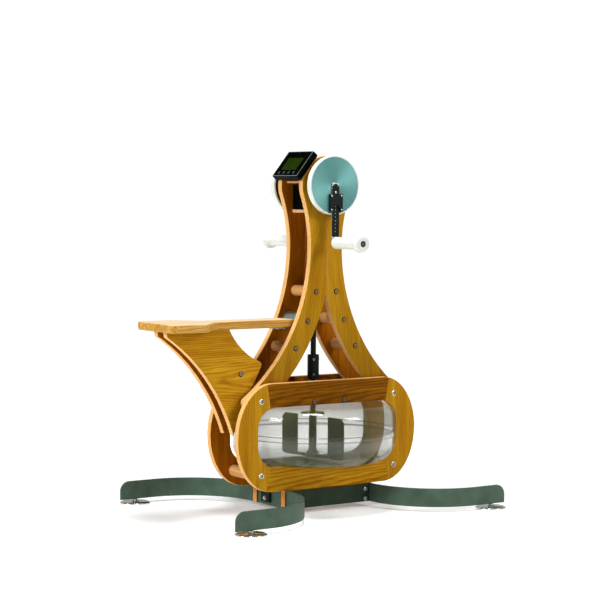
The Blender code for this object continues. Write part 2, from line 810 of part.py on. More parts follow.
def make_gearbox():
    def stepped(shrink, low):
        top_half, half = HOUSING_TOP_HALF - shrink, HOUSING_HALF - shrink
        return [
            (-half, low),
            (half, low),
            (half, HOUSING_STEP_Z - shrink),
            (top_half, HOUSING_STEP_Z - shrink),
            (top_half, HOUSING_TOP_Z - shrink),
            (-top_half, HOUSING_TOP_Z - shrink),
            (-top_half, HOUSING_STEP_Z - shrink),
            (-half, HOUSING_STEP_Z - shrink),
        ]

    housing = board("gearbox_housing", [stepped(0, HOUSING_LOW_Z)], 2 * HOUSING_HALF_Y)
    hollow = board("gearbox_hollow", [stepped(HOUSING_WALL, HOUSING_LOW_Z - HOUSING_WALL)],
                   2 * (HOUSING_HALF_Y - HOUSING_WALL), CUTTERS)
    hole = rod_across("axle_hole", AXLE_R + LOOSE, 2 * HOUSING_HALF_Y, 20, CUTTERS)
    hollow.location = (AXLE_LINE_X, 0, 0)
    hole.location = (AXLE_LINE_X, 0, AXLE_Z)
    combine(housing, hollow)
    combine(housing, hole)
    place(housing, "black_plastic", MACHINE)

    reach = BOW_INNER_Y - GAP
    loops = [rectangle(-GEARBOX_BOARD_HALF, GEARBOX_BOARD_HALF, -reach, reach)]
    loops.append(circle((0, 0), outside_radius(SHAFT_R, 20), 20))
    place(slab("gearbox_board", loops, GEARBOX_BOARD), "dark_oak", MACHINE, (0, 0, GEARBOX_BOARD_Z))
    loops = [rectangle(*CONSOLE_BOARD_X, -reach, reach)]
    place(slab("console_board", loops, CONSOLE_BOARD), "light_wood", MACHINE, (0, 0, CONSOLE_BOARD_Z))


def make_axle_bearings():
    bore = outside_radius(AXLE_R, TURNED_SIDES)
    flange_low = BOW_OUTER_Y + GAP
    flange_high = flange_low + BEARING_FLANGE
    profile = [
        (bore, flange_high),
        (BEARING_FLANGE_R - CHAMFER, flange_high),
        (BEARING_FLANGE_R, flange_high - CHAMFER),
        (BEARING_FLANGE_R, flange_low),
        (BEARING_R, flange_low),
        (BEARING_R, BOW_INNER_Y + GAP),
        (bore, BOW_INNER_Y + GAP),
    ]
    for side_name, side in SIDES.items():
        bearing = outward(turned(f"{side_name}_axle_bearing", profile, TURNED_SIDES, ring=True), side)
        place(bearing, "dark_steel", MACHINE, (0, 0, AXLE_Z))


# Cranks

def make_axle_and_drums():
    inner, outer = DRUM_Y
    axle = rod_across("crank_axle", AXLE_R, outer - DRUM_EDGE, TURNED_SIDES)
    place(axle, "bright_steel", CRANK, (0, 0, AXLE_Z))
    bore = AXLE_R + GAP
    profile = [
        (bore, outer - DRUM_RECESS),
        (DRUM_RECESS_R, outer - DRUM_RECESS),
        (DRUM_RECESS_R, outer),
        (DRUM_R - DRUM_EDGE, outer),
        (DRUM_R, outer - DRUM_EDGE),
        (DRUM_R, inner + DRUM_EDGE),
        (DRUM_R - DRUM_EDGE, inner),
        (bore, inner),
    ]
    for side_name, side in SIDES.items():
        drum = outward(turned(f"{side_name}_drum", profile, 40, ring=True), side)
        place(drum, "white_plastic", CRANK, (0, 0, AXLE_Z))


def make_clamps():
    """A plate over each arm with a lip down both of its sides, notched above and below the arm."""
    low, high = CLAMP_Z
    right = [
        (0, low + CLAMP_LOW_NOTCH),
        (CLAMP_NOTCH_HALF, low + CLAMP_LOW_NOTCH_SIDE),
        (CLAMP_NOTCH_HALF, low),
        (CLAMP_HALF - CLAMP_CORNER, low),
        (CLAMP_HALF, low + CLAMP_CORNER),
        (CLAMP_HALF, high - CLAMP_CORNER),
        (CLAMP_HALF - CLAMP_CORNER, high),
        (CLAMP_NOTCH_HALF, high),
        (0, high - CLAMP_TOP_NOTCH),
    ]
    outline = right + mirrored(right)[1:-1]
    inner = DRUM_Y[1] + GAP
    depth = CLAMP_OUTER_Y - inner
    channel_depth = ARM_Y[1] + GAP - inner
    channel_half = ARM_HALF + GAP
    for side_name, side in SIDES.items():
        clamp = board(f"{side_name}_clamp", [outline], depth)
        channel = board(f"{side_name}_channel",
                        [rectangle(-channel_half, channel_half, low - LOOSE, high + LOOSE)],
                        2 * channel_depth, CUTTERS)
        channel.location = (AXLE_LINE_X, side * inner, 0)
        combine(clamp, channel)
        place(clamp, "dark_steel", CRANK, (0, side * (inner + depth / 2), 0))


def arm_outline():
    outline = arc((0, GRIP_Z), ARM_HALF, -180, 0, 10)
    corner = [(ARM_HALF, ARM_TOP_Z - ARM_CORNER), (ARM_HALF - ARM_CORNER, ARM_TOP_Z)]
    return outline + corner + mirrored(corner)


def make_arms():
    hole_heights = [ARM_HOLE_TOP_Z - i * ARM_HOLE_PITCH for i in range(ARM_HOLES)] + [ARM_UPPER_HOLE_Z]
    holes = [circle((0, z), ARM_HOLE_R, 8) for z in hole_heights]
    middle_y = (ARM_Y[0] + ARM_Y[1]) / 2
    for side_name, side in SIDES.items():
        arm = board(f"{side_name}_arm", [arm_outline()] + holes, ARM_Y[1] - ARM_Y[0])
        spindle = turned(f"{side_name}_spindle", rod_profile(SPINDLE_R, middle_y, SPINDLE_END_Y), 20,
                         collection=CUTTERS)
        outward(spindle, side)
        spindle.location = (AXLE_LINE_X, 0, GRIP_Z)
        combine(arm, spindle, "UNION")
        place(arm, "dark_steel", CRANK, (0, side * middle_y, 0))


def grip_profile():
    """Hollow grip read from its knob to the arm, as (radius, distance from the middle plane)."""
    inner, outer = GRIP_Y
    bore = outside_radius(SPINDLE_R, TURNED_SIDES)
    corner_r = GRIP_KNOB_R - GRIP_KNOB_EDGE
    flare_start, flare_end = GRIP_FLARE
    profile = [(bore, outer - GRIP_RECESS), (GRIP_RECESS_R, outer - GRIP_RECESS), (GRIP_RECESS_R, outer)]
    profile += arc((corner_r, outer - GRIP_KNOB_EDGE), GRIP_KNOB_EDGE, 90, 0, 4)
    for share in spaced(0, 1, 4):
        swell = (1 + math.cos(math.pi * share)) / 2
        along = outer - flare_start - (flare_end - flare_start) * share
        profile.append((GRIP_R + (GRIP_KNOB_R - GRIP_R) * swell, along))
    profile += [
        (GRIP_R, inner + GRIP_COLLAR + CHAMFER),
        (GRIP_COLLAR_R, inner + GRIP_COLLAR),
        (GRIP_COLLAR_R, inner + CHAMFER),
        (GRIP_COLLAR_R - CHAMFER, inner),
        (bore, inner),
    ]
    return profile


def make_grips():
    for side_name, side in SIDES.items():
        grip = outward(turned(f"{side_name}_grip", grip_profile(), TURNED_SIDES, ring=True), side)
        place(grip, "white_plastic", GRIPS[side_name], (0, 0, GRIP_Z))


# Console, built in the tilted frame of its face

def make_console():
    top, low = CONSOLE_HALF_SLOPE, -CONSOLE_HALF_SLOPE
    depth = -CONSOLE_DEPTH
    profile = [
        (top, 0),
        (low, 0),
        (low, depth + CONSOLE_EDGE),
        (low + CONSOLE_EDGE, depth),
        (top - 3 * CONSOLE_RIDGE, depth),
        (top - 2 * CONSOLE_RIDGE + CONSOLE_EDGE, depth - CONSOLE_RIDGE),
        (top - CONSOLE_EDGE, depth - CONSOLE_RIDGE),
        (top, depth + CONSOLE_EDGE),
    ]
    housing = board("console_housing", [list(reversed(profile))], 2 * CONSOLE_HALF_WIDTH)
    place(housing, "black_plastic", CONSOLE)
    half_x, half_y = LENS_SIZE[0] / 2, LENS_SIZE[1] / 2
    window = box("lens_recess", (LENS_X - half_x - GAP, -half_y - GAP, -LENS_SIZE[2]),
                 (LENS_X + half_x + GAP, half_y + GAP, LENS_SIZE[2]), CUTTERS)
    window.parent = CONSOLE
    combine(housing, window)
    lens = box("console_lens", (LENS_X - half_x, -half_y, -LENS_SIZE[2] + GAP),
               (LENS_X + half_x, half_y, GAP / 2))
    place(lens, "display", CONSOLE)
    for number in range(4):
        y = BUTTON_STEP * (1.5 - number)
        well = turned(f"button_well_{number + 1}", drum_cut(BUTTON_R + GAP, -BUTTON_WELL, BUTTON_WELL), 16,
                      collection=CUTTERS)
        well.parent = CONSOLE
        well.location = (BUTTON_X, y, 0)
        combine(housing, well)
        profile = rod_profile(BUTTON_R, BUTTON_PROUD - BUTTON_LENGTH, BUTTON_PROUD)
        button = turned(f"button_{number + 1}", profile, 16)
        place(button, "grey_button", CONSOLE, (BUTTON_X, y, 0))


# Seat

def seat_outline():
    """Half of the seat board in (x, y) from its rear middle to its front end, then mirrored."""
    corner_x = SEAT_REAR_X + SEAT_CORNER_R
    corner_y = SEAT_HALF - SEAT_CORNER_R
    half = arc((corner_x, corner_y), SEAT_CORNER_R, 180, 90, 6)
    for share in spaced(0, 1, 10):
        x = SEAT_TAPER_X[0] + (SEAT_TAPER_X[1] - SEAT_TAPER_X[0]) * share
        drop = (1 - math.cos(math.pi * share)) / 2
        half.append((x, SEAT_HALF - (SEAT_HALF - SEAT_NECK_HALF) * drop))
    half.append((SEAT_FRONT_X, SEAT_NECK_HALF))
    return half + [(x, -y) for x, y in reversed(half)]


def bracket_outline():
    """A seat bracket in (x, z): two arcs, a rounded nose and an edge that leans on a tank rung."""
    top = SEAT_LOW_Z - GAP
    nose_reach = BRACKET_FRONT_R + BRACKET_NOSE_R
    nose_drop = math.sqrt(nose_reach ** 2 - (BRACKET_NOSE_X - BRACKET_FRONT[0]) ** 2)
    nose = (BRACKET_NOSE_X, BRACKET_FRONT[1] - nose_drop)
    rung = (-TANK_RUNG_X, TANK_RUNG_TOP_Z)
    reach = math.hypot(nose[0] - rung[0], nose[1] - rung[1])
    clear = TANK_RUNG_R + 2 * GAP
    lean = direction(rung, nose) + math.degrees(math.acos((clear + BRACKET_NOSE_R) / reach))
    away = (math.cos(math.radians(lean)), math.sin(math.radians(lean)))
    foot = (rung[0] + clear * away[0], rung[1] + clear * away[1])

    def rear_x(z):
        return BRACKET_REAR[0] + math.sqrt(BRACKET_REAR_R ** 2 - (z - BRACKET_REAR[1]) ** 2)

    rear_start = direction(BRACKET_REAR, (rear_x(BRACKET_TIP[1]), BRACKET_TIP[1]))
    rear_end = math.degrees(math.asin((BRACKET_CORNER_Z - BRACKET_REAR[1]) / BRACKET_REAR_R))
    front_start = 360 + direction(BRACKET_FRONT, (BRACKET_TOP_X[1], top))
    front_end = 360 + direction(BRACKET_FRONT, nose)
    outline = [(BRACKET_TOP_X[0], top)]
    outline += [(BRACKET_TOP_X[1], top)]
    outline += arc(BRACKET_FRONT, BRACKET_FRONT_R, front_start, front_end, 6)[1:]
    outline += arc(nose, BRACKET_NOSE_R, direction(nose, BRACKET_FRONT), lean - 180, 4)[1:]
    outline += [foot, BRACKET_TIP]
    outline += arc(BRACKET_REAR, BRACKET_REAR_R, rear_start, rear_end, 12)
    return outline


def make_seat():
    seat = slab("seat_board", [seat_outline()], SEAT_THICK)
    chamfer_edges(seat, SEAT_EDGE)
    place(seat, "oak", SEAT, (0, 0, SEAT_LOW_Z + SEAT_THICK / 2))
    outline = bracket_outline()
    for side_name, side in SIDES.items():
        bracket = board(f"{side_name}_seat_bracket", [outline], BOARD)
        place(bracket, "oak", SEAT, (0, side * BRACKET_Y, 0))
    spacer = rod_across("seat_spacer", SEAT_SPACER_R, BRACKET_Y - BOARD / 2 - GAP, 16)
    place(spacer, "light_wood", SEAT, (SEAT_SPACER[0], 0, SEAT_SPACER[1]))


def make_seat_hook():
    """A bent strip: a tongue under the seat board, then over the top of the tube."""
    middle_r = outside_radius(SEAT_TUBE_R + GAP, 36) + HOOK_THICK / 2
    tongue_z = SEAT_LOW_Z - GAP - HOOK_THICK / 2
    rise_x = SEAT_TUBE[0] - middle_r
    path = [(HOOK_TONGUE_X, tongue_z)]
    path += arc((rise_x - HOOK_BEND_R, tongue_z + HOOK_BEND_R), HOOK_BEND_R, -90, 0, 4)
    path += arc(SEAT_TUBE, middle_r, 180, HOOK_END, 22)

    def build(shape):
        rows = [(shape.verts.new((x, -HOOK_HALF, z)), shape.verts.new((x, HOOK_HALF, z))) for x, z in path]
        for (a, b), (c, d) in zip(rows, rows[1:]):
            shape.faces.new((a, c, d, b))

    hook = new_piece("seat_hook", mesh_from("seat_hook", build), PARTS)
    wall = hook.modifiers.new("thickness", "SOLIDIFY")
    wall.thickness = HOOK_THICK
    wall.offset = 0
    wall.use_even_offset = True
    place(hook, "bright_steel", SEAT)


clear_scene()
PARTS = new_collection("water_grinder_ergometer")
CUTTERS = new_collection("cutters")
CARRIER_AT = {
    "machine": (0, 0, 0),
    "crank_axis": (0, 0, AXLE_Z),
    "near_grip_axis": (0, 0, GRIP_Z),
    "far_grip_axis": (0, 0, GRIP_Z),
    "drive_axis": (0, 0, 0),
    "seat_axis": (SEAT_TUBE[0], 0, SEAT_TUBE[1]),
    "console_face": (0, 0, 0),
}
MACHINE = empty("machine", (AXLE_LINE_X, 0, 0))
CRANK = empty("crank_axis", CARRIER_AT["crank_axis"], MACHINE)
GRIPS = {side: empty(f"{side}_grip_axis", CARRIER_AT[f"{side}_grip_axis"], MACHINE) for side in SIDES}
DRIVE = empty("drive_axis", CARRIER_AT["drive_axis"], MACHINE)
SEAT = empty("seat_axis", CARRIER_AT["seat_axis"], MACHINE)
CONSOLE = empty("console_face", CONSOLE_FACE, MACHINE, (0, -CONSOLE_TILT, 0))

make_bows()
make_tank_panels()
make_rungs()
make_tank()
make_tank_top()
make_leg_bars()
make_base_rails()
make_feet()
make_gears()
make_drive()
make_paddle()
make_gearbox()
make_axle_bearings()
make_axle_and_drums()
make_clamps()
make_arms()
make_grips()
make_console()
make_seat()
make_seat_hook()
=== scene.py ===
"""Looks of the water grinder ergometer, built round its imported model.

Metres, +Z up, the seat at -X and the near side at -Y. As in the part's source, sizes
are measured from the upright line through the crank axle and then moved along X.
"""
import math

import bmesh
import bpy
from mathutils import Matrix, Vector


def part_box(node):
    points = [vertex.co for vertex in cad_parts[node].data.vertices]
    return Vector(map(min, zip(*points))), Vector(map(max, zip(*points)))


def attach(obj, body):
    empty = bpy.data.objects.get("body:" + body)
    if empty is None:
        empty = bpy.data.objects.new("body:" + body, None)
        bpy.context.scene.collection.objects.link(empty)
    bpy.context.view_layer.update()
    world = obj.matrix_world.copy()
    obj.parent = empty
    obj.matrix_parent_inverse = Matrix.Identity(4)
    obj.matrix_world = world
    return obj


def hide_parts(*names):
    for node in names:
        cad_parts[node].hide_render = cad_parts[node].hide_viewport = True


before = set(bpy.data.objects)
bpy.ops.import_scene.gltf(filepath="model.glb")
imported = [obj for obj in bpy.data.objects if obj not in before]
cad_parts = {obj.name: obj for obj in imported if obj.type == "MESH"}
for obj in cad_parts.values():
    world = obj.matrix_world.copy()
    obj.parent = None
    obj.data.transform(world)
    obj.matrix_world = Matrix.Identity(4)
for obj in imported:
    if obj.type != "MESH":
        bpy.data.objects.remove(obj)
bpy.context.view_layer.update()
AXLE_LOW, AXLE_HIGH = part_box("crank_axle")
AXLE_X = (AXLE_LOW.x + AXLE_HIGH.x) / 2
AXLE_Z = (AXLE_LOW.z + AXLE_HIGH.z) / 2

SIDES = {"near": -1, "far": 1}
ENDS = {"front": -1, "rear": 1}
GAP = 0.0003

# Frame boards
BOARD = 0.022
BOW_Y = 0.0603
PANEL_Y = BOW_Y + BOARD + GAP
BOW_INNER_Y = BOW_Y - BOARD / 2
BOW_OUTER_Y = BOW_Y + BOARD / 2
PANEL_INNER_Y = PANEL_Y - BOARD / 2
PANEL_OUTER_Y = PANEL_Y + BOARD / 2
BOARD_EDGE = 0.0025
HEAD_Z = 1.0535
HEAD_R = 0.0962
NECK_HALF = 0.0618
NECK_Z = 0.857
LEG_R = 0.5895
LEG_INNER = (0.6195, 0.859)
LEG_INNER_R = 0.6377
BOW_FOOT_Z = 0.3486
BOW_FOOT_R = 0.016
BEARING_BORE_R = 0.0213
PANEL_STRAIGHT = 0.221
PANEL_END = 0.130
PANEL_Z = 0.250
PANEL_HALF_Z = 0.1735
WINDOW_HALF = 0.274
WINDOW_Z = (0.155, 0.346)
WINDOW_R = 0.066
SEAM_INNER_X = 0.228
SEAM_OUTER_X = 0.242

# Rungs as (x, z) of their middles
RUNG_R = 0.0175
DOWEL_EDGE = 0.0015
RUNGS = {
    "neck_rung_front": (-0.040, 0.711),
    "neck_rung_rear": (0.040, 0.711),
    "middle_rung_rear": (0.072, 0.6175),
    "lower_rung_front": (-0.118, 0.5305),
    "lower_rung_rear": (0.118, 0.5305),
}
SEAT_TUBE = (-0.072, 0.6175)
SEAT_TUBE_R = 0.022
TANK_RUNG_R = 0.019
TANK_RUNG_X = 0.2625
TANK_RUNG_Z = {"top": 0.3675, "low": 0.130}
HANGER_BOLT = (0.0595, 0.357)

# Tank, water and paddle
TANK_R = 0.267
FLANGE_R = 0.271
FLANGE_Z = (0.241, 0.257)
SEAM_Z = 0.249
TANK_Z = (0.1556, 0.3445)
TOP_SHOULDER = 0.043
LOW_SHOULDER = 0.052
TANK_WALL = 0.003
TANK_HOLE_R = 0.0145
TANK_BUSH_R = 0.030
TANK_SPIGOT = 0.009
HANGER = 0.018
HANGER_Z = 0.357
HANGER_HALF = 0.080
WATER_Z = 0.2465
SHAFT_R = 0.009
SHAFT_TOP_Z = 1.030
SHAFT_JOINT_Z = 0.461
COUPLING_R = 0.019
COUPLING_Z = (0.421, 0.501)
COUPLING_FACING = math.radians(-118)
COUPLING_SCREW_INSET = 0.015
SLEEVE_R = 0.013
PADDLE_HUB_R = 0.022
PADDLE_DISC_R = 0.0385
PADDLE_DISC_Z = (0.304, 0.311)
PADDLE_Z = (0.163, 0.300)
PADDLE_HUB_Z = (0.179, 0.189)
BLADE_R = (0.071, 0.144)
BLADE_THICK = 0.004
BLADE_CORNER = 0.014
PADDLE_ARM_REACH = (0.020, 0.079)
PADDLE_ARM_HALF = (0.009, 0.005)
PADDLE_TURN = math.radians(99.7)

# Cranks
AXLE_R = 0.010
AXLE_CLEAR_R = 0.0101
BEARING_R = 0.034
BEARING_NECK_R = 0.021
BEARING_Y = (0.0496, 0.0716, 0.0796)
DRUM_R = 0.0953
DRUM_Y = (0.095, 0.116)
DRUM_BORE_R = 0.0103
DRUM_RECESS_R = 0.0914
DRUM_FACE_R = 0.0911
DRUM_HOLLOW_R = (0.030, 0.0865, 0.0885)
DRUM_HOLLOW = 0.003
ARM_Y = (0.1163, 0.1213)
ARM_HALF = 0.01375
ARM_TOP_Z = 1.0615
ARM_CORNER = 0.0015
STRIP_Y = 0.1188
STRIP_HALF = 0.0133
STRIP_Z = (0.8895, 1.050, 1.0615)
ARM_HOLE_R = 0.0028
ARM_HOLES = [0.988 - i * 0.01157 for i in range(8)]
ARM_PIN_Z = 1.032
ARM_PIN_Y = (0.1166, 0.1212, 0.1214, 0.1215)
ARM_PIN_R = 0.0027
ARM_PIN_HEAD_R = 0.0040
CLAMP_HALF = 0.024
CLAMP_Z = (0.9695, 1.027)
CLAMP_OUTER_Y = 0.127
CLAMP_CORNER = 0.003
CLAMP_SCREW_X = 0.0190
CLAMP_SCREW_INSET = 0.006
CLAMP_NOTCH_HALF = 0.0143
CLAMP_TOP_NOTCH = 0.008
CLAMP_LOW_NOTCH = 0.0255
CLAMP_LOW_NOTCH_SIDE = 0.0085
GRIP_Z = 0.870
GRIP_Y = (0.1240, 0.271)
GRIP_R = 0.019
GRIP_COLLAR_R = 0.0195
GRIP_COLLAR = (0.012, 0.014, 0.060)
GRIP_KNOB_R = 0.028
GRIP_KNOB_EDGE = 0.009
GRIP_FLARE = (0.016, 0.040)
GRIP_BORE_R = 0.0062
GRIP_RECESS = 0.0033
GRIP_RECESS_R = 0.0100
GRIP_BOLT_R = 0.0050
SPINDLE_R = 0.006
SPINDLE_END_Y = 0.2665

# Console, in the tilted frame of its face: x up its slope, z out of the face
CONSOLE_FACE = (-0.0867, 0.0, 1.1248)
CONSOLE_TILT = math.radians(50.6)
CONSOLE_HALF = (0.0525, 0.071)
CONSOLE_DEPTH = 0.022
CONSOLE_RIDGE = 0.0045
CONSOLE_LIP = 0.0012
CONSOLE_PLATE = 0.0014
LENS_HALF = (0.0255, 0.043)
LENS_X = -0.0014
BUTTON_X = -0.0388
BUTTON_STEP = 0.0276
BUTTON_R = 0.0055

# Seat
SEAT_Z = (0.597, 0.623)
SEAT_X = (-0.604, -0.105)
SEAT_HALF = 0.118
SEAT_NECK_HALF = 0.043
SEAT_CORNER_R = 0.028
SEAT_TAPER_X = (-0.490, -0.390)
BRACKET_Y = 0.028
BRACKET_TOP_X = (-0.581, -0.3485)
BRACKET_REAR = (-0.9152, 0.0691)
BRACKET_REAR_R = 0.612
BRACKET_FRONT = (-0.1456, 0.7011)
BRACKET_FRONT_R = 0.2289
BRACKET_NOSE_X = -0.237
BRACKET_NOSE_R = 0.010
BRACKET_TIP = (-0.3325, 0.261)
BRACKET_CORNER_Z = 0.580
SEAT_BOLT = (-0.307, 0.454)
SPACER_R = 0.0125
HOOK_THICK = 0.004
HOOK_HALF = 0.030
HOOK_TONGUE_X = -0.168
HOOK_BEND_R = 0.006
HOOK_END = -45
HOOK_SCREW_X = (-0.155, -0.125)
HOOK_SCREW_Y = 0.017

# Base
LEG_BAR = 0.008
LEG_EDGE = 0.0012
LEG_BAR_Z = (0.016, 0.076)
LEG_BAR_X = 0.164
LEG_BAR_FLAT = 0.112
LEG_BEND_R = 0.240
LEG_BAR_END = 0.524
LEG_END_CORNER = 0.032
LEG_BLOCK = 0.009
LEG_BLOCK_Y = (-0.039, 0.009)
LEG_BLOCK_Z = (0.027, 0.074)
LEG_BOLT = (-0.0137, 0.040)
BASE_RAIL_HALF = 0.172
BASE_RAIL_Z = (0.018, 0.0762)
LAP_Z = 0.046
SIDE_PLATE_HALF = 0.1597
SIDE_PLATE_THICK = 0.0045
SIDE_PLATE_Z = (0.016, 0.074)
SIDE_BOLT_X = 0.1455
SIDE_BOLT_Z = (0.026, 0.057)
FOOT_X = 0.469
FOOT_Y = LEG_BAR_FLAT + LEG_BEND_R
FOOT_TOP_Z = 0.0108
FOOT_LINE = [(0.012, FOOT_TOP_Z), (0.016, 0.0092), (0.044, 0.0078), (0.050, 0.0050), (0.050, 0)]
STUD_R = (0.0072, 0.0080)
STUD_PITCH = 0.0012

UPRIGHT = Matrix.Rotation(math.pi / 2, 4, "X")

# Strength of the white surroundings as fill light, in reflections and behind the machine
BACKDROP_FILL = 0.06
BACKDROP_GLOSS = 0.40
BACKDROP_SEEN = 1.05
FLOOR_R = 2.2
FLOOR_GLOW = 0.18

# Lamps as name, place, point aimed at, side and power in watts
LAMPS = (
    ("key_left", (-4.6, 0.2, 2.2), (0, 0, 0.55), 2.0, 190),
    ("front_soft", (2.2, -4.4, 2.8), (0, 0, 0.5), 2.0, 150),
    ("top_soft", (-0.3, -0.4, 4.2), (0, 0, 0.3), 1.1, 140),
)

# Camera: place, direction in degrees (turn from +Y towards +X, downward tilt, roll) and lens in mm
CAMERA_PLACE = (-3.5728, -5.1244, 1.0334)
CAMERA_AIM = (34.475, 3.242, 0.393)
LENS_LENGTH = 114.55
SENSOR_WIDTH = 36


# Points and outlines

def spaced(start, end, steps):
    return [start + (end - start) * i / steps for i in range(steps + 1)]


def arc(centre, radius, start, end, steps):
    """Points of an arc from start to end degrees, both included."""
    angles = [math.radians(a) for a in spaced(start, end, steps)]
    return [(centre[0] + radius * math.cos(a), centre[1] + radius * math.sin(a)) for a in angles]


def direction(start, end):
    """Angle in degrees of the line from one point to another."""
    return math.degrees(math.atan2(end[1] - start[1], end[0] - start[0]))


def mirrored(points):
    """Points with the sign of their first coordinate turned, in reversed order."""
    return [(-x, y) for x, y in reversed(points)]


def flipped(points):
    """Points with the sign of their second coordinate turned, in reversed order."""
    return [(x, -y) for x, y in reversed(points)]


def circle(centre, radius, steps):
    return arc(centre, radius, 0, 360, steps)[:-1]


def rounded(points, radius, steps=4):
    """Round the corners of a line. The radius is one number, or one for each corner, 0 to leave it sharp."""
    count = len(points)
    radii = [radius] * count if isinstance(radius, (int, float)) else radius
    result = []
    for i, corner in enumerate(points):
        if radii[i] == 0:
            result.append(tuple(corner))
            continue
        middle = Vector(corner)
        before = (Vector(points[i - 1]) - middle).normalized()
        after = (Vector(points[(i + 1) % count]) - middle).normalized()
        half = before.angle(after) / 2
        centre = middle + (before + after).normalized() * (radii[i] / math.sin(half))
        first = middle + before * (radii[i] / math.tan(half)) - centre
        last = middle + after * (radii[i] / math.tan(half)) - centre
        start = math.degrees(math.atan2(first.y, first.x))
        turn = math.degrees(math.atan2(last.y, last.x)) - start
        turn = (turn + 180) % 360 - 180
        result += arc(centre, radii[i], start, start + turn, steps)
    return result


def rectangle(x_low, x_high, y_low, y_high):
    return [(x_low, y_low), (x_high, y_low), (x_high, y_high), (x_low, y_high)]


def normals(path):
    """Each point of a flat path with the direction square to the path there."""
    last = len(path) - 1
    for i, point in enumerate(path):
        run = (Vector(path[min(last, i + 1)]) - Vector(path[max(0, i - 1)])).normalized()
        yield point, Vector((-run.y, run.x))


# Places

def at(x=0.0, y=0.0, z=0.0, turn=None):
    """Place measured like the machine, with a turn about the piece's own origin first."""
    place = Matrix.Translation((AXLE_X + x, y, z))
    return place @ turn if turn else place


def outward(side, x, z, y=0.0):
    """Place of a piece made along +Z that runs outward along one side's Y."""
    return at(x, y, z, Matrix.Rotation(-side * math.pi / 2, 4, "X"))


def standing(y=0.0, x=0.0, z=0.0):
    """Place of a flat board that stands up along X, or of a turned piece that lies along Y."""
    return at(x, y, z, UPRIGHT)


# Meshes

def smooth(mesh, angle=35):
    mesh.shade_smooth()
    mesh.set_sharp_from_angle(angle=math.radians(angle))
    return mesh


def mesh_of(build, angle=35):
    """A mesh filled by a function that works on an empty bmesh."""
    shape = bmesh.new()
    build(shape)
    bmesh.ops.recalc_face_normals(shape, faces=shape.faces)
    mesh = bpy.data.meshes.new("shape")
    shape.to_mesh(mesh)
    shape.free()
    return smooth(mesh, angle)


def flat_mesh(loops, thickness, edge, rings=3):
    """A board in its own XY plane with the given outline and holes and rounded edges."""
    curve = bpy.data.curves.new("outline", "CURVE")
    curve.dimensions = "2D"
    curve.fill_mode = "BOTH"
    curve.extrude = thickness / 2 - edge
    curve.bevel_depth = edge
    curve.bevel_resolution = rings
    curve.offset = -edge
    for loop in loops:
        spline = curve.splines.new("POLY")
        spline.points.add(len(loop) - 1)
        for point, (x, y) in zip(spline.points, loop):
            point.co = (x, y, 0, 1)
        spline.use_cyclic_u = True
    outline = bpy.data.objects.new("outline", curve)
    bpy.context.scene.collection.objects.link(outline)
    bpy.context.view_layer.update()
    graph = bpy.context.evaluated_depsgraph_get()
    mesh = bpy.data.meshes.new_from_object(outline.evaluated_get(graph), depsgraph=graph)
    bpy.data.objects.remove(outline, do_unlink=True)
    bpy.data.curves.remove(curve)
    shape = bmesh.new()
    shape.from_mesh(mesh)
    bmesh.ops.remove_doubles(shape, verts=shape.verts, dist=0.000005)
    bmesh.ops.recalc_face_normals(shape, faces=shape.faces)
    shape.to_mesh(mesh)
    shape.free()
    return smooth(mesh)


def board_faces(mesh, side):
    """Materials of a board on one side of the machine: 0 outer face, 1 thickness, 2 inner face."""
    for face in mesh.polygons:
        if abs(face.normal.z) < 0.8:
            face.material_index = 1
        elif face.normal.z * side > 0:
            face.material_index = 2
    return mesh


def lathe_into(shape, profile, sides, place=None, ring=False, material=0):
    """Turn (radius, z) points about Z. A radius may be a function of the angle."""
    place = place or Matrix()
    rings = []
    for radius, z in profile:
        if radius == 0:
            rings.append([shape.verts.new(place @ Vector((0, 0, z)))])
            continue
        loop = []
        for i in range(sides):
            angle = 2 * math.pi * i / sides
            r = radius(angle) if callable(radius) else radius
            loop.append(shape.verts.new(place @ Vector((r * math.cos(angle), r * math.sin(angle), z))))
        rings.append(loop)
    pairs = list(zip(rings, rings[1:]))
    if ring:
        pairs.append((rings[-1], rings[0]))
    for first, second in pairs:
        for i in range(sides):
            j = (i + 1) % sides
            corners = [loop[k % len(loop)] for loop, k in ((first, i), (first, j), (second, j), (second, i))]
            corners = list(dict.fromkeys(corners))
            if len(corners) > 2:
                shape.faces.new(corners).material_index = material


def lathe(profile, sides):
    """A turned piece. A profile that starts and ends off the axis is closed to a ring."""
    ring = min(profile[0][0], profile[-1][0]) > 0
    return mesh_of(lambda shape: lathe_into(shape, profile, sides, ring=ring))


def turned(line, radii, steps, sides):
    """A turned piece whose profile has rounded corners."""
    return lathe(rounded(line, radii, steps), sides)


def sweep(rows, angle):
    """Skin a row of loops of points and close its two ends."""
    def build(shape):
        loops = [[shape.verts.new(point) for point in row] for row in rows]
        for first, second in zip(loops, loops[1:]):
            for j in range(len(first)):
                k = (j + 1) % len(first)
                shape.faces.new((first[j], first[k], second[k], second[j]))
        shape.faces.new(loops[0])
        shape.faces.new(list(reversed(loops[-1])))
    return mesh_of(build, angle)


def box_mesh(low, high, edge):
    """A box between two corners with bevelled edges."""
    def build(shape):
        for vert in bmesh.ops.create_cube(shape, size=1)["verts"]:
            vert.co = [low[i] + (high[i] - low[i]) * (vert.co[i] + 0.5) for i in range(3)]
        bmesh.ops.bevel(shape, geom=shape.edges[:], offset=edge, segments=2, affect="EDGES", profile=0.5)
    return mesh_of(build, 30)


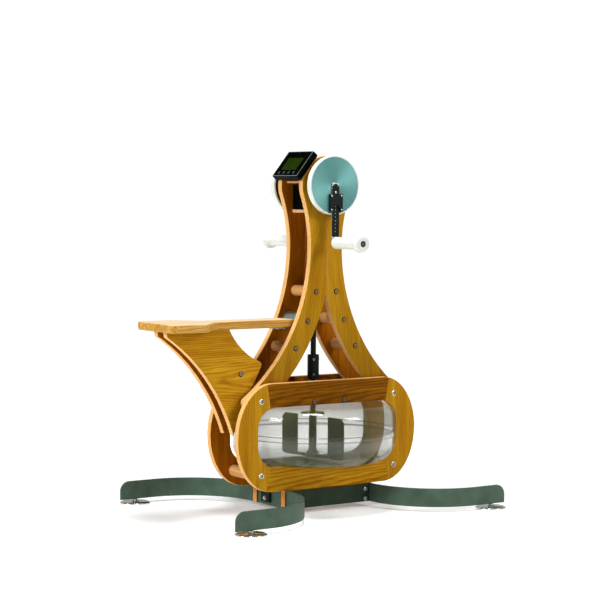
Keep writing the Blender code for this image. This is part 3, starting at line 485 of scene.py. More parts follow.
def add(name, mesh, materials, body, place=None, node=None):
    """Show a mesh as a piece that rides on a body, in place of a node where one is named."""
    if place is not None:
        mesh.transform(place)
    mesh.name = name
    for material in materials if isinstance(materials, (list, tuple)) else [materials]:
        mesh.materials.append(material)
    piece = bpy.data.objects.new(name, mesh)
    bpy.context.scene.collection.objects.link(piece)
    weights = piece.modifiers.new("even_shading", "WEIGHTED_NORMAL")
    weights.keep_sharp = True
    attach(piece, body)
    if node:
        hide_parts(node)


# Materials

def feed(tree, socket, value):
    """Link an output into a socket, or set a plain value on it."""
    if isinstance(value, bpy.types.NodeSocket):
        tree.links.new(value, socket)
    else:
        socket.default_value = value


class Surface:
    """A Principled material and the nodes that feed it."""

    def __init__(self, name, **sockets):
        self.material = bpy.data.materials.new(name)
        self.material.use_nodes = True
        self.tree = self.material.node_tree
        self.shader = self.tree.nodes["Principled BSDF"]
        for socket, value in sockets.items():
            self.shader.inputs[socket.replace("_", " ")].default_value = value

    def add(self, kind, inputs=None, **settings):
        node = self.tree.nodes.new("ShaderNode" + kind)
        for key, value in settings.items():
            setattr(node, key, value)
        for socket, value in (inputs or {}).items():
            feed(self.tree, node.inputs[socket], value)
        return node

    def space(self, turn=(0, 0, 0), stretch=(1, 1, 1), origin=(0, 0, 0)):
        """The object's own coordinates, turned and then divided by the stretch."""
        coordinates = self.add("TexCoord").outputs["Object"]
        turn = [math.radians(a) for a in turn]
        inputs = {"Vector": coordinates, "Location": origin, "Rotation": turn, "Scale": stretch}
        return self.add("Mapping", inputs, vector_type="TEXTURE").outputs[0]

    def noise(self, vector, scale, detail, roughness=0.55, distortion=0.0):
        inputs = {"Vector": vector, "Scale": scale, "Detail": detail, "Roughness": roughness,
                  "Distortion": distortion}
        return self.add("TexNoise", inputs).outputs[0]

    def ramp(self, factor, stops):
        """A colour or grey ramp through (position, value) stops."""
        node = self.add("ValToRGB", {0: factor})
        elements = node.color_ramp.elements
        while len(elements) < len(stops):
            elements.new(0.5)
        for element, (position, value) in zip(elements, stops):
            element.position = position
            element.color = (value,) * 3 + (1,) if isinstance(value, (int, float)) else (*value, 1)
        return node.outputs[0]

    def math(self, operation, first, second):
        return self.add("Math", {0: first, 1: second}, operation=operation).outputs[0]

    def mix(self, factor, first, second, blend="MIX"):
        inputs = {0: factor, 6: colour(first), 7: colour(second)}
        return self.add("Mix", inputs, data_type="RGBA", blend_type=blend).outputs[2]

    def range(self, value, low, high):
        """Spread a value from 0 to 1 over low to high."""
        return self.add("MapRange", {0: value, 3: low, 4: high}).outputs[0]

    def bump(self, height, strength, distance):
        inputs = {"Height": height, "Strength": strength, "Distance": distance}
        feed(self.tree, self.shader.inputs["Normal"], self.add("Bump", inputs).outputs[0])

    def set(self, socket, value):
        feed(self.tree, self.shader.inputs[socket], value)


def colour(value):
    return value if isinstance(value, bpy.types.NodeSocket) else (*value, 1)


# Wood: shares of rings, streaks, fibres, patches and pores in its tone, where on that tone its light,
# middle and dark colours stand, and the heights between which the painted shade at the foot fades out
RING_SHARE = 0.15
STREAK_SHARE = 0.46
FIBRE_SHARE = 0.26
PATCH_SHARE = 0.26
PORE_SHARE = 0.32
TONE_STOPS = (0.38, 0.505, 0.66)
FOOT_SHADE_Z = (0.36, 0.78)


def wood(name, turn, tones, pith=(0.0, 0.055, 0.0), roughness=0.42, coat=0.0, foot=1.0):
    """Oiled oak, its grain along Z turned by the given degrees, with painted shade that darkens it to a share
    towards the foot.
    """
    surface = Surface(name, Coat_Weight=coat, Coat_Roughness=0.3, Specular_IOR_Level=0.03)
    tilted = (turn[0] + 2.5, turn[1] + 1.5, turn[2])
    rings = surface.add("TexWave", {
        "Vector": surface.space(tilted, (1, 1, 7), pith), "Scale": 62, "Distortion": 4, "Detail": 2,
        "Detail Scale": 0.9, "Detail Roughness": 0.6,
    }, wave_type="RINGS", rings_direction="Z").outputs[1]
    streaks = surface.noise(surface.space(turn, (1, 1, 16)), 60, 4, 0.6, 0.3)
    fibres = surface.noise(surface.space(turn, (1, 1, 40)), 620, 3, 0.65)
    pores = surface.noise(surface.space(turn, (1, 1, 26)), 1100, 2, 0.5)
    patches = surface.noise(surface.space(turn, (1, 1, 4)), 7, 2)
    rings = surface.ramp(rings, [(0.0, 0.0), (0.55, 0.25), (1.0, 1.0)])
    tone = surface.math("MULTIPLY", rings, RING_SHARE)
    for layer, share in ((streaks, STREAK_SHARE), (fibres, FIBRE_SHARE), (patches, PATCH_SHARE)):
        tone = surface.math("ADD", tone, surface.math("MULTIPLY", layer, share))
    light, dark = tones
    middle = [(a + b) / 2 for a, b in zip(light, dark)]
    base = surface.ramp(tone, list(zip(TONE_STOPS, (light, middle, dark))))
    # painted shade: the colour is multiplied darker towards the foot
    if foot < 1:
        height = surface.add("SeparateXYZ", {0: surface.space()}).outputs[2]
        low, high = FOOT_SHADE_Z
        share = surface.add("MapRange", {0: height, 1: low, 2: high, 3: foot, 4: 1.0}).outputs[0]
        base = surface.mix(1.0, base, surface.ramp(share, [(0.0, 0.0), (1.0, 1.0)]), "MULTIPLY")
    open_pore = surface.math("MULTIPLY", surface.ramp(pores, [(0.60, 0.0), (0.70, 1.0)]), PORE_SHARE)
    surface.set("Base Color", surface.mix(open_pore, base, [0.55 * value for value in dark]))
    surface.set("Roughness", surface.range(fibres, roughness - 0.08, roughness + 0.10))
    surface.bump(surface.math("SUBTRACT", fibres, open_pore), 0.25, 0.0004)
    return surface.material


def painted_steel(name, base, roughness, metallic, gloss):
    """Satin coated or bare rolled steel, slightly cloudy and finely scratched."""
    surface = Surface(name, Metallic=metallic, Specular_IOR_Level=gloss)
    clouds = surface.noise(surface.space(), 14, 4, 0.6)
    grain = surface.noise(surface.space(stretch=(6, 6, 1)), 700, 2)
    dark = [0.72 * value for value in base]
    light = [1.22 * value for value in base]
    surface.set("Base Color", surface.ramp(clouds, [(0.3, dark), (0.55, base), (0.75, light)]))
    surface.set("Roughness", surface.range(clouds, roughness - 0.08, roughness + 0.12))
    surface.bump(grain, 0.12, 0.0002)
    return surface.material


def bright_metal(name, base, roughness, stretch=(1, 1, 1), clouds=0.08):
    """Turned or brushed metal with fine scratches along the long direction of its stretch."""
    surface = Surface(name, Metallic=1.0)
    scratches = surface.noise(surface.space(stretch=stretch), 900, 3, 0.7)
    dark = [(1 - 2 * clouds) * value for value in base]
    surface.set("Base Color", surface.ramp(scratches, [(0.3, dark), (0.7, base)]))
    surface.set("Roughness", surface.range(scratches, roughness * 0.8, roughness * 1.3))
    surface.bump(scratches, 0.08, 0.0001)
    return surface.material


def moulded(name, base, roughness, coat=0.0, grain=0.06, spread=0.06, index=1.45):
    """Moulded plastic with a faint texture."""
    surface = Surface(name, Coat_Weight=coat, Coat_Roughness=0.08, IOR=index)
    clouds = surface.noise(surface.space(), 24, 3)
    skin = surface.noise(surface.space(), 1500, 2)
    dark = [max(0.0, value * (1 - spread) - 0.002) for value in base]
    surface.set("Base Color", surface.ramp(clouds, [(0.35, dark), (0.65, base)]))
    surface.set("Roughness", surface.range(skin, roughness - 0.05, roughness + 0.06))
    surface.bump(skin, grain, 0.0002)
    return surface.material


def clear_plastic(name, tint, alpha, roughness=0.03, edge_alpha=0.75):
    """Clear moulded plastic or water: see-through in the middle and denser where it is seen edge on."""
    surface = Surface(name, IOR=1.5, Specular_IOR_Level=0.5, Coat_Weight=1.0, Coat_Roughness=0.02,
                      Coat_IOR=1.8)
    haze = surface.noise(surface.space(), 9, 3)
    pale = [min(1.0, 1.08 * value) for value in tint]
    surface.set("Base Color", surface.ramp(haze, [(0.35, tint), (0.65, pale)]))
    surface.set("Roughness", surface.range(haze, roughness, roughness * 2))
    facing = surface.add("LayerWeight", {"Blend": 0.35}).outputs["Facing"]
    surface.set("Alpha", surface.add("MapRange", {0: facing, 3: alpha, 4: edge_alpha}).outputs[0])
    return surface.material


# Light and dark colour of each wood
OAK_TONES = ((0.60, 0.325, 0.016), (0.32, 0.130, 0.002))
ORANGE_TONES = ((0.33, 0.125, 0.003), (0.13, 0.038, 0.001))
# painted shade: a darker oak for the faces that turn towards the middle plane
INSIDE_SHADE_TONES = ((0.50, 0.160, 0.004), (0.24, 0.060, 0.001))
GOLD_TONES = ((0.66, 0.34, 0.012), (0.30, 0.105, 0.001))
# painted highlight: a paler copy of the oak for the thickness of boards
EDGE_HIGHLIGHT_TONES = ((0.86, 0.52, 0.22), (0.66, 0.35, 0.11))
# painted sheen: a pale copy of the seat's oak for its top, where the top light and sheen fall
SEAT_SHEEN_TONES = ((0.82, 0.66, 0.43), (0.66, 0.47, 0.26))
# painted highlight: a paler, more orange oak for the ends and edges of the base rails
RAIL_END_HIGHLIGHT_TONES = ((0.80, 0.34, 0.10), (0.58, 0.20, 0.04))
SEAT_TONES = ((0.68, 0.42, 0.12), (0.34, 0.14, 0.01))
SHADE_TONES = ((0.30, 0.12, 0.035), (0.12, 0.04, 0.01))
DOWEL_TONES = ((0.70, 0.40, 0.17), (0.46, 0.21, 0.06))
PEACH_TONES = ((0.86, 0.55, 0.32), (0.60, 0.30, 0.14))

# Materials. The grain of wood runs up, or along X or Y
ALONG_X = (0, 90, 0)
ALONG_Y = (90, 0, 0)
OAK_UP = wood("oak_upright", (0, 0, 0), OAK_TONES)
# the leaning bows get painted shade towards their feet
OAK_LEAN_LEFT = wood("oak_lean_left", (0, 9, 0), OAK_TONES, (0.11, 0.045, 0.0), foot=0.62)
OAK_LEAN_RIGHT = wood("oak_lean_right", (0, -7, 0), OAK_TONES, (-0.06, 0.03, 0.0), foot=0.56)
OAK_INSIDE_SHADE = wood("oak_inside_shade", (0, 0, 0), INSIDE_SHADE_TONES, (0.05, 0.02, 0.0))
OAK_RAIL_END_LIT = wood("oak_rail_end_highlight", ALONG_X, RAIL_END_HIGHLIGHT_TONES, (0.0, 0.02, 0.05))
OAK_ALONG = wood("oak_along", ALONG_X, OAK_TONES, (0.0, 0.02, 0.43))
OAK_RAIL_TOP = wood("oak_top_rail", ALONG_X, ORANGE_TONES, (0.0, 0.02, 0.34))
OAK_RAIL_LOW = wood("oak_low_rail", ALONG_X, GOLD_TONES, (0.0, 0.03, 0.06))
OAK_EDGE_LIT = wood("oak_edge_highlight", (0, 0, 0), EDGE_HIGHLIGHT_TONES, (0.02, 0.0, 0.0))
OAK_SEAT = wood("oak_seat", ALONG_X, SEAT_TONES, (0.0, 0.03, 0.50))
OAK_SEAT_TOP_SHEEN = wood("oak_seat_top_sheen", ALONG_X, SEAT_SHEEN_TONES, (0.0, 0.03, 0.50), 0.30, 0.10)
OAK_DARKER = wood("oak_shade", ALONG_Y, SHADE_TONES)
DOWEL = wood("dowel", ALONG_Y, DOWEL_TONES, (0.02, 0.0, 0.02), 0.36)
PEACH = wood("peach_board", ALONG_Y, PEACH_TONES)
STEEL_BAR = painted_steel("leg_steel", (0.060, 0.100, 0.070), 0.42, 0.45, 0.25)
STEEL_PLATE = painted_steel("plate_steel", (0.020, 0.032, 0.018), 0.50, 0.2, 0.1)
BLACK_STEEL = painted_steel("black_steel", (0.007, 0.011, 0.008), 0.45, 0.0, 0.1)
# painted shade: black for bolt sockets and the drum's back hollow
SHADE_BLACK = painted_steel("painted_shade_black", (0.006, 0.007, 0.006), 0.55, 0.0, 0.1)
BRIGHT = bright_metal("bright_steel", (0.66, 0.67, 0.65), 0.22)
ZINC = bright_metal("zinc_bolt", (0.55, 0.60, 0.60), 0.28)
TUBE_STEEL = bright_metal("tube_steel", (0.42, 0.50, 0.48), 0.30, (1, 18, 1))
CHROME = bright_metal("chrome", (0.78, 0.77, 0.73), 0.09, clouds=0.03)
WHITE = moulded("white_plastic", (0.73, 0.76, 0.71), 0.32, 0.15)
BLACK_PLASTIC = moulded("black_plastic", (0.0030, 0.0035, 0.0030), 0.30, index=1.05)
BLACK_GLOSS = moulded("console_black", (0.0012, 0.0012, 0.0012), 0.18, 0.0, 0.02, index=1.03)
RIM_GREY = moulded("console_rim", (0.10, 0.13, 0.11), 0.30)
BUTTON = moulded("button_grey", (0.035, 0.035, 0.045), 0.35, index=1.2)
RUBBER = moulded("black_rubber", (0.003, 0.003, 0.003), 0.6, index=1.1)
# painted shade: grey for thin rings that draw the dark lines at the tank flange's edges
FLANGE_EDGE_SHADE = moulded("flange_edge_shade", (0.045, 0.065, 0.050), 0.35)
PADDLE_DARK = moulded("paddle_dark", (0.012, 0.017, 0.015), 0.30)
DISPLAY = moulded("display", (0.012, 0.025, 0.001), 0.22, 0.0, 0.0, 0.2, index=1.04)
CLEAR = clear_plastic("clear_tank", (0.075, 0.090, 0.001), 0.13, edge_alpha=0.48)
WATER = clear_plastic("water", (0.020, 0.040, 0.020), 0.12, 0.02, 0.26)


def brushed_face():
    """Spun metal face: fine circles about the axle catch the light in two opposite wedges."""
    surface = Surface("drum_face", Metallic=0.30, Anisotropic=0.75, Specular_IOR_Level=0.3)
    spin = surface.add("TexWave", {
        "Vector": surface.space(origin=(AXLE_X, 0, AXLE_Z)), "Scale": 900, "Distortion": 1.5, "Detail": 3,
    }, wave_type="RINGS", rings_direction="Y").outputs[1]
    clouds = surface.noise(surface.space(), 16, 3)
    base = surface.ramp(clouds, [(0.3, (0.100, 0.275, 0.260)), (0.7, (0.115, 0.305, 0.290))])
    surface.set("Base Color", base)
    surface.set("Roughness", surface.range(spin, 0.34, 0.42))
    surface.set("Tangent", surface.add("Tangent", direction_type="RADIAL", axis="Y").outputs[0])
    surface.bump(spin, 0.05, 0.0001)
    return surface.material


DRUM_FACE = brushed_face()

# Bolt heads as (head, socket); the black in the sockets of pale and zinc heads is painted shade in the recess
DARK_HEAD = [BLACK_STEEL, BRIGHT]
PALE_HEAD = [BRIGHT, SHADE_BLACK]
ZINC_HEAD = [ZINC, SHADE_BLACK]


# Bolts

def hexagon(apothem):
    """Radius of a hexagon as a function of the angle."""
    return lambda angle: apothem / math.cos((angle + math.pi / 6) % (math.pi / 3) - math.pi / 6)


def socket_bolt(shape, place, radius=0.009, height=0.0022):
    """A flat round head with a hexagon socket. Materials: 0 bright, 1 dark, which is painted shade in the
    socket's recess.
    """
    socket = hexagon(0.52 * radius)
    pin = radius * 0.2
    rim = (radius * 0.66, height)
    floor = height - radius * 0.5
    head = [(radius, -0.001), (radius, height * 0.45), (radius * 0.94, height * 0.85),
            (radius * 0.84, height), rim]
    tip = [(pin, floor), (pin * 0.9, height - radius * 0.18), (0, height - radius * 0.15)]
    for line, material in ((head, 0), ([rim, (socket, height * 0.98), (socket, floor)], 1),
                           ([(socket, floor), (pin, floor)], 1), (tip, 0)):
        lathe_into(shape, line, 24, place, material=material)


def hex_bolt(shape, place, apothem, height=0.0055):
    """A washer and a hexagon head."""
    washer_r = apothem * 1.55
    side, chamfer = hexagon(apothem), hexagon(apothem * 0.90)
    washer = [(washer_r, -0.0005), (washer_r, 0.0012), (washer_r * 0.96, 0.0016), (apothem, 0.0016)]
    lathe_into(shape, washer, 24, place)
    lathe_into(shape, [(side, 0.0010), (side, height - 0.0008), (chamfer, height), (0, height)], 24, place)


def bolts(name, places, body, materials, maker=socket_bolt, **sizes):
    """One piece that holds a bolt at each place, made along +Z."""
    def build(shape):
        for place in places:
            maker(shape, place, **sizes)
    add(name, mesh_of(build, 30), materials, body)


def side_plate(side_name, name, loops, span, edge, material, body, node, rings=3):
    """A flat plate on one side of the machine, between two distances from its middle plane."""
    low, high = span
    add(f"{side_name}_{name}", flat_mesh(loops, high - low, edge, rings), material, body,
        standing(SIDES[side_name] * (low + high) / 2), f"{side_name}_{node}")


def wooden_board(name, outline, side, y, wood_face, body, node):
    """A bow or a bracket, with a painted highlight in the paler colour of its thickness and painted shade in
    the darker colour of the face towards the middle plane.
    """
    mesh = board_faces(flat_mesh([outline], BOARD, BOARD_EDGE), side)
    add(name, mesh, [wood_face, OAK_EDGE_LIT, OAK_INSIDE_SHADE], body, standing(side * y), node)


# Side frames

def console_flat_angles():
    """Where the flat under the console cuts the head's circle, in degrees."""
    along_x = -CONSOLE_FACE[0] * math.sin(CONSOLE_TILT)
    along_z = (CONSOLE_FACE[2] - HEAD_Z) * math.cos(CONSOLE_TILT)
    half = math.degrees(math.acos((along_x + along_z - CONSOLE_DEPTH - GAP) / HEAD_R))
    middle = 90 - math.degrees(CONSOLE_TILT)
    return middle + half, middle - half


def bow_outline(front):
    """Outline of one bow in (x, z) with x positive; the front bow is its mirror image."""
    neck_r = (NECK_HALF ** 2 + (HEAD_Z - NECK_Z) ** 2 - HEAD_R ** 2) / (2 * (HEAD_R - NECK_HALF))
    head = (0, HEAD_Z)
    neck = (NECK_HALF + neck_r, NECK_Z)
    leg = (NECK_HALF + LEG_R, NECK_Z)
    corner_z = BOW_FOOT_Z + BOW_FOOT_R
    outer_x = leg[0] - math.sqrt((LEG_R + BOW_FOOT_R) ** 2 - (leg[1] - corner_z) ** 2)
    inner_x = LEG_INNER[0] - math.sqrt((LEG_INNER_R - BOW_FOOT_R) ** 2 - (LEG_INNER[1] - corner_z) ** 2)
    outer_corner = (outer_x, corner_z)
    inner_corner = (inner_x, corner_z)
    seam = GAP / 2
    bore_angle = math.degrees(math.acos(seam / BEARING_BORE_R))
    waist_angle = direction(head, neck)
    top_angle = math.degrees(math.acos(seam / HEAD_R))
    apex_angle = 180 + math.degrees(math.acos((LEG_INNER[0] - seam) / LEG_INNER_R))
    points = arc((0, AXLE_Z), BEARING_BORE_R, -bore_angle, bore_angle, 24)
    if front:
        flat_start, flat_end = console_flat_angles()
        points += arc(head, HEAD_R, top_angle, flat_start, 12)
        points += arc(head, HEAD_R, flat_end, waist_angle, 20)
    else:
        points += arc(head, HEAD_R, top_angle, waist_angle, 40)
    points += arc(neck, neck_r, direction(neck, head), 180, 16)[1:]
    points += arc(leg, LEG_R, 180, 360 + direction(leg, outer_corner), 40)[1:]
    points += arc(outer_corner, BOW_FOOT_R, direction(outer_corner, leg), -90, 10)[1:]
    inner_start = 360 + direction(LEG_INNER, inner_corner)
    points += arc(inner_corner, BOW_FOOT_R, 270, inner_start, 8)
    points += arc(LEG_INNER, LEG_INNER_R, inner_start, apex_angle, 40)[1:]
    return points


def make_bows():
    for side_name, side in SIDES.items():
        for end_name in ENDS:
            front = end_name == "front"
            outline = mirrored(bow_outline(True)) if front else bow_outline(False)
            node = f"{side_name}_{end_name}_bow"
            face = OAK_LEAN_LEFT if front else OAK_LEAN_RIGHT
            wooden_board(f"{node}_board", outline, side, BOW_Y, face, "frame", node)


def cut_along(shape, first, second):
    """Cut every face that the line between two points of the XY plane crosses, all the way through."""
    run = Vector((second[0] - first[0], second[1] - first[1], 0))
    geometry = shape.verts[:] + shape.edges[:] + shape.faces[:]
    bmesh.ops.bisect_plane(shape, geom=geometry, plane_co=(*first, 0), plane_no=run.cross(Vector((0, 0, 1))))


def make_tank_panels():
    """Panels of four boards: two upright ends and a rail above and below the window."""
    end = [(PANEL_STRAIGHT + PANEL_END * math.cos(a), PANEL_Z + PANEL_HALF_Z * math.sin(a))
           for a in spaced(-math.pi / 2, math.pi / 2, 64)]
    outline = end + mirrored(end)
    window = rounded(rectangle(-WINDOW_HALF, WINDOW_HALF, *WINDOW_Z), WINDOW_R, 20)
    middle_x = WINDOW_HALF - WINDOW_R
    drop = math.sqrt(WINDOW_R ** 2 - (SEAM_INNER_X - middle_x) ** 2)
    rise = PANEL_HALF_Z * math.sqrt(1 - ((SEAM_OUTER_X - PANEL_STRAIGHT) / PANEL_END) ** 2)
    inner_top = WINDOW_Z[1] - WINDOW_R + drop
    seams = []
    for up, inner_z in ((1, inner_top), (-1, WINDOW_Z[0] + WINDOW_R - drop)):
        for end_side in (-1, 1):
            seams.append(((end_side * SEAM_INNER_X, inner_z), (end_side * SEAM_OUTER_X, PANEL_Z + up * rise)))
    slope = (SEAM_OUTER_X - SEAM_INNER_X) / (PANEL_Z + rise - inner_top)
    boards = [OAK_UP, OAK_RAIL_TOP, OAK_RAIL_LOW, OAK_EDGE_LIT, OAK_INSIDE_SHADE]
    for side_name, side in SIDES.items():
        mesh = flat_mesh([outline, window], BOARD, BOARD_EDGE)
        shape = bmesh.new()
        shape.from_mesh(mesh)
        for first, second in seams:
            cut_along(shape, first, second)
        for face in shape.faces:
            x, z = face.calc_center_median()[:2]
            height = z - PANEL_Z
            seam_x = SEAM_INNER_X + slope * max(0.0, abs(height) - (inner_top - PANEL_Z))
            # thickness: painted highlight
            if abs(face.normal.z) < 0.8:
                board = OAK_EDGE_LIT
            # faces towards the middle plane: painted shade
            elif face.normal.z * side > 0:
                board = OAK_INSIDE_SHADE
            elif abs(x) > seam_x:
                board = OAK_UP
            else:
                board = OAK_RAIL_TOP if height > 0 else OAK_RAIL_LOW
            face.material_index = boards.index(board)
        shape.to_mesh(mesh)
        shape.free()
        smooth(mesh)
        add(f"{side_name}_tank_panel_boards", mesh, boards, "frame",
            standing(side * PANEL_Y), f"{side_name}_tank_panel")


def rod_profile(radius, half, edge):
    """A plain rod along Z with rounded ends, as (radius, z)."""
    end = [(0, half)] + arc((radius - edge, half - edge), edge, 90, 0, 4)
    return end + [(radius, 0)] + flipped(end)


def make_rungs():
    """Dowels between the bows and the panels, and the metal tube that the seat hooks on."""
    reach = BOW_INNER_Y - GAP

    def dowel(node, radius, half, x, z):
        mesh = lathe(rod_profile(radius, half, DOWEL_EDGE), 48)
        add(f"{node}_dowel", mesh, DOWEL, "frame", standing(0, x, z), node)

    for name, spot in RUNGS.items():
        dowel(name, RUNG_R, reach, *spot)
    tube = lathe(rod_profile(SEAT_TUBE_R, reach, 0.001), 56)
    add("seat_tube_metal", tube, TUBE_STEEL, "frame", standing(0, *SEAT_TUBE), "seat_tube")
    for end_name, end in ENDS.items():
        for level, z in TANK_RUNG_Z.items():
            half = reach if level == "top" else PANEL_INNER_Y - GAP
            dowel(f"tank_rung_{level}_{end_name}", TANK_RUNG_R, half, end * TANK_RUNG_X, z)


def make_frame_bolts():
    ends = ENDS.values()
    bow_spots = [(end * x, z) for end in ends for name, (x, z) in RUNGS.items() if name.endswith("rear")]
    panel_spots = [(end * TANK_RUNG_X, z) for end in ends for z in TANK_RUNG_Z.values()]
    hanger_spots = [(end * HANGER_BOLT[0], HANGER_BOLT[1]) for end in ends]
    for name, spots, face_y, heads in (("bow_bolts", bow_spots, BOW_OUTER_Y, DARK_HEAD),
                                       ("panel_bolts", panel_spots, PANEL_OUTER_Y, PALE_HEAD),
                                       ("hanger_bolts", hanger_spots, PANEL_OUTER_Y, DARK_HEAD)):
        places = [outward(side, x, z, side * face_y) for side in SIDES.values() for x, z in spots]
        bolts(name, places, "frame", heads)


# Tank

def shell_profile(top):
    """Outer line of one shell, from its middle or its hole to the seam, as (radius, z)."""
    up, shoulder, steps = (1, TOP_SHOULDER, 16) if top else (-1, LOW_SHOULDER, 18)
    flat_z, flange_z = TANK_Z[top], FLANGE_Z[top]
    line = [(TANK_HOLE_R if top else 0, flat_z)]
    line += arc((TANK_R - shoulder, flat_z - up * shoulder), shoulder, up * 90, 0, steps)
    lip = up * (FLANGE_R - TANK_R) / 2
    seam = [(TANK_R, flat_z - up * (shoulder + 0.002)), (TANK_R, flange_z + lip), (FLANGE_R, flange_z),
            (FLANGE_R, SEAM_Z + up * GAP)]
    return line + rounded(seam, [0, 0.003, 0.0015, 0], 3)


def inset(line, depth):
    """The line moved inward, towards the tank's hollow."""
    centre = Vector((TANK_R * 0.4, SEAM_Z))
    result = []
    for point, normal in normals(line):
        if normal.dot(centre - Vector(point)) < 0:
            normal = -normal
        moved = Vector(point) + normal * depth
        result.append((max(0.0, moved.x), moved.y))
    return result


def make_tank():
    """Two clear shells, the water in them and two thin grey rings at the top and bottom edges of their
    flange, which are painted shade for the dark lines these clear edges show.
    """
    for node, top in (("tank_upper_shell", True), ("tank_lower_shell", False)):
        outer = shell_profile(top)
        inner = inset(outer, TANK_WALL)
        inner[0] = (outer[0][0], inner[0][1])
        inner[-1] = (inner[-1][0], outer[-1][1])
        profile = outer + list(reversed(inner))
        add(f"{node}_clear", lathe(profile, 128), CLEAR, "frame", at(), node)
    wall = inset(shell_profile(False), TANK_WALL + GAP)
    wall = [(r, z) for r, z in wall if z < WATER_Z - 0.004 and r < TANK_R - TANK_WALL]
    edge_r = TANK_R - TANK_WALL - GAP
    wall[0] = (0, wall[0][1])
    surface = [(edge_r, WATER_Z), (edge_r - 0.002, WATER_Z - 0.0008), (edge_r - 0.006, WATER_Z - 0.001)]
    mesh = lathe(wall + surface + [(0, WATER_Z - 0.001)], 128)
    add("tank_water", mesh, WATER, "frame", at())
    # painted shade: thin grey rings along the flange's top and bottom edges draw their dark lines
    for name, z in (("low", FLANGE_Z[0]), ("high", FLANGE_Z[1])):
        lip = rounded(rectangle(FLANGE_R - 0.0006, FLANGE_R + 0.0004, z - 0.0007, z + 0.0007), 0.0003, 2)
        add(f"tank_flange_shade_line_{name}", lathe(lip, 128), FLANGE_EDGE_SHADE, "frame", at())


def make_tank_top():
    """A bush round the shaft and the board above it that joins the tank panels."""
    high = HANGER_Z - HANGER / 2 - GAP
    low = TANK_Z[1] + GAP
    spigot_r = TANK_HOLE_R - GAP
    bore = SHAFT_R + 0.0001
    line = [(bore, high), (TANK_BUSH_R, high), (TANK_BUSH_R, low), (spigot_r, low),
            (spigot_r, low - TANK_SPIGOT), (bore, low - TANK_SPIGOT)]
    bush = turned(line, [0, 0.0006, 0.0006, 0, 0.001, 0], 4, 64)
    add("tank_top_bush", bush, BLACK_PLASTIC, "frame", at(), "tank_top_bearing")
    reach = PANEL_INNER_Y - GAP
    loops = [rounded(rectangle(-HANGER_HALF, HANGER_HALF, -reach, reach), 0.002, 3),
             circle((0, 0), SHAFT_R + 0.002, 40)]
    add("tank_hanger_board", flat_mesh(loops, HANGER, 0.0015), OAK_DARKER, "frame",
        at(0, 0, HANGER_Z), "tank_hanger")


def make_paddle():
    """A sleeve with a disc near its top, two blades and the arms that carry them."""
    def show(name, mesh, place):
        add(name, mesh, PADDLE_DARK, "paddle_shaft", place, "paddle")

    top = SHAFT_JOINT_Z - GAP / 2
    low, high = PADDLE_Z
    disc_low, disc_high = PADDLE_DISC_Z
    hub_low, hub_high = PADDLE_HUB_Z
    line = [(0, top), (SHAFT_R, top), (SHAFT_R, disc_high), (PADDLE_DISC_R, disc_high),
            (PADDLE_DISC_R, disc_low), (SLEEVE_R, disc_low), (SLEEVE_R, hub_high), (PADDLE_HUB_R, hub_low),
            (PADDLE_HUB_R, low), (0, low)]
    radii = [0, 0.0008, 0, 0.0015, 0.0015, 0.002, 0.006, 0.003, 0.0012, 0]
    show("paddle_sleeve", turned(line, radii, 4, 56), at())
    inner, outer = BLADE_R
    blade = rounded([(inner, low), (outer, low), (outer, high - BLADE_CORNER), (outer - BLADE_CORNER, high),
                     (inner, high)], [0.002, 0.016, 0.004, 0.004, 0.003], 6)
    turn = Matrix.Rotation(PADDLE_TURN, 4, "Z")
    for i, outline in enumerate((blade, mirrored(blade))):
        show(f"paddle_blade_{i + 1}", flat_mesh([outline], BLADE_THICK, 0.0012), at(0, 0, 0, turn @ UPRIGHT))
    near, far = PADDLE_ARM_REACH
    wide, narrow = PADDLE_ARM_HALF
    edge = [(-far, -narrow), (-near, -wide), (near, -wide), (far, -narrow)]
    arm = rounded(edge + flipped(edge), [0.003, 0.01, 0.01, 0.003] * 2, 4)
    show("paddle_arms", flat_mesh([arm], 0.010, 0.002), at(0, 0, low + 0.006, turn))


def make_shaft():
    """The upright shaft and its coupling, with two rows of set screws."""
    low = SHAFT_JOINT_Z + GAP / 2
    shaft = turned(rectangle(0, SHAFT_R, SHAFT_TOP_Z, low), [0, 0.001, 0.001, 0], 3, 48)
    add("drive_shaft_metal", shaft, BLACK_STEEL, "paddle_shaft", at(), "drive_shaft")
    low, high = COUPLING_Z
    sleeve = turned(rectangle(SHAFT_R + GAP, COUPLING_R, high, low), [0, 0.0012, 0.0012, 0], 3, 56)
    add("coupling_sleeve", sleeve, BLACK_STEEL, "paddle_shaft", at(), "shaft_coupling")
    places = []
    for z in (low + COUPLING_SCREW_INSET, high - COUPLING_SCREW_INSET):
        for turn in (COUPLING_FACING, COUPLING_FACING + math.pi / 2):
            spot = Vector((COUPLING_R * math.cos(turn), COUPLING_R * math.sin(turn), 0))
            aim = spot.to_track_quat("Z", "Y").to_matrix().to_4x4()
            places.append(at(spot.x, spot.y, z, aim))
    bolts("coupling_screws", places, "paddle_shaft", ZINC_HEAD, radius=0.0036, height=0.0008)


# Head

def make_head():
    """Looks of the plain solids in the head, and its two bearings."""
    shown = {"gearbox_housing": BLACK_PLASTIC, "gearbox_board": PEACH, "console_board": PEACH,
             "bevel_wheel": BRIGHT, "bevel_pinion": BRIGHT}
    for node, material in shown.items():
        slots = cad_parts[node].data.materials
        slots.clear()
        slots.append(material)
    inner, step, outer = BEARING_Y
    line = [(AXLE_CLEAR_R, outer), (BEARING_R, outer), (BEARING_R, step), (BEARING_NECK_R, step),
            (BEARING_NECK_R, inner), (AXLE_CLEAR_R, inner)]
    for side_name, side in SIDES.items():
        ring = turned(line, [0, 0.0015, 0, 0, 0.0006, 0], 3, 56)
        add(f"{side_name}_bearing_ring", ring, BLACK_STEEL, "frame", outward(side, 0, AXLE_Z),
            f"{side_name}_axle_bearing")


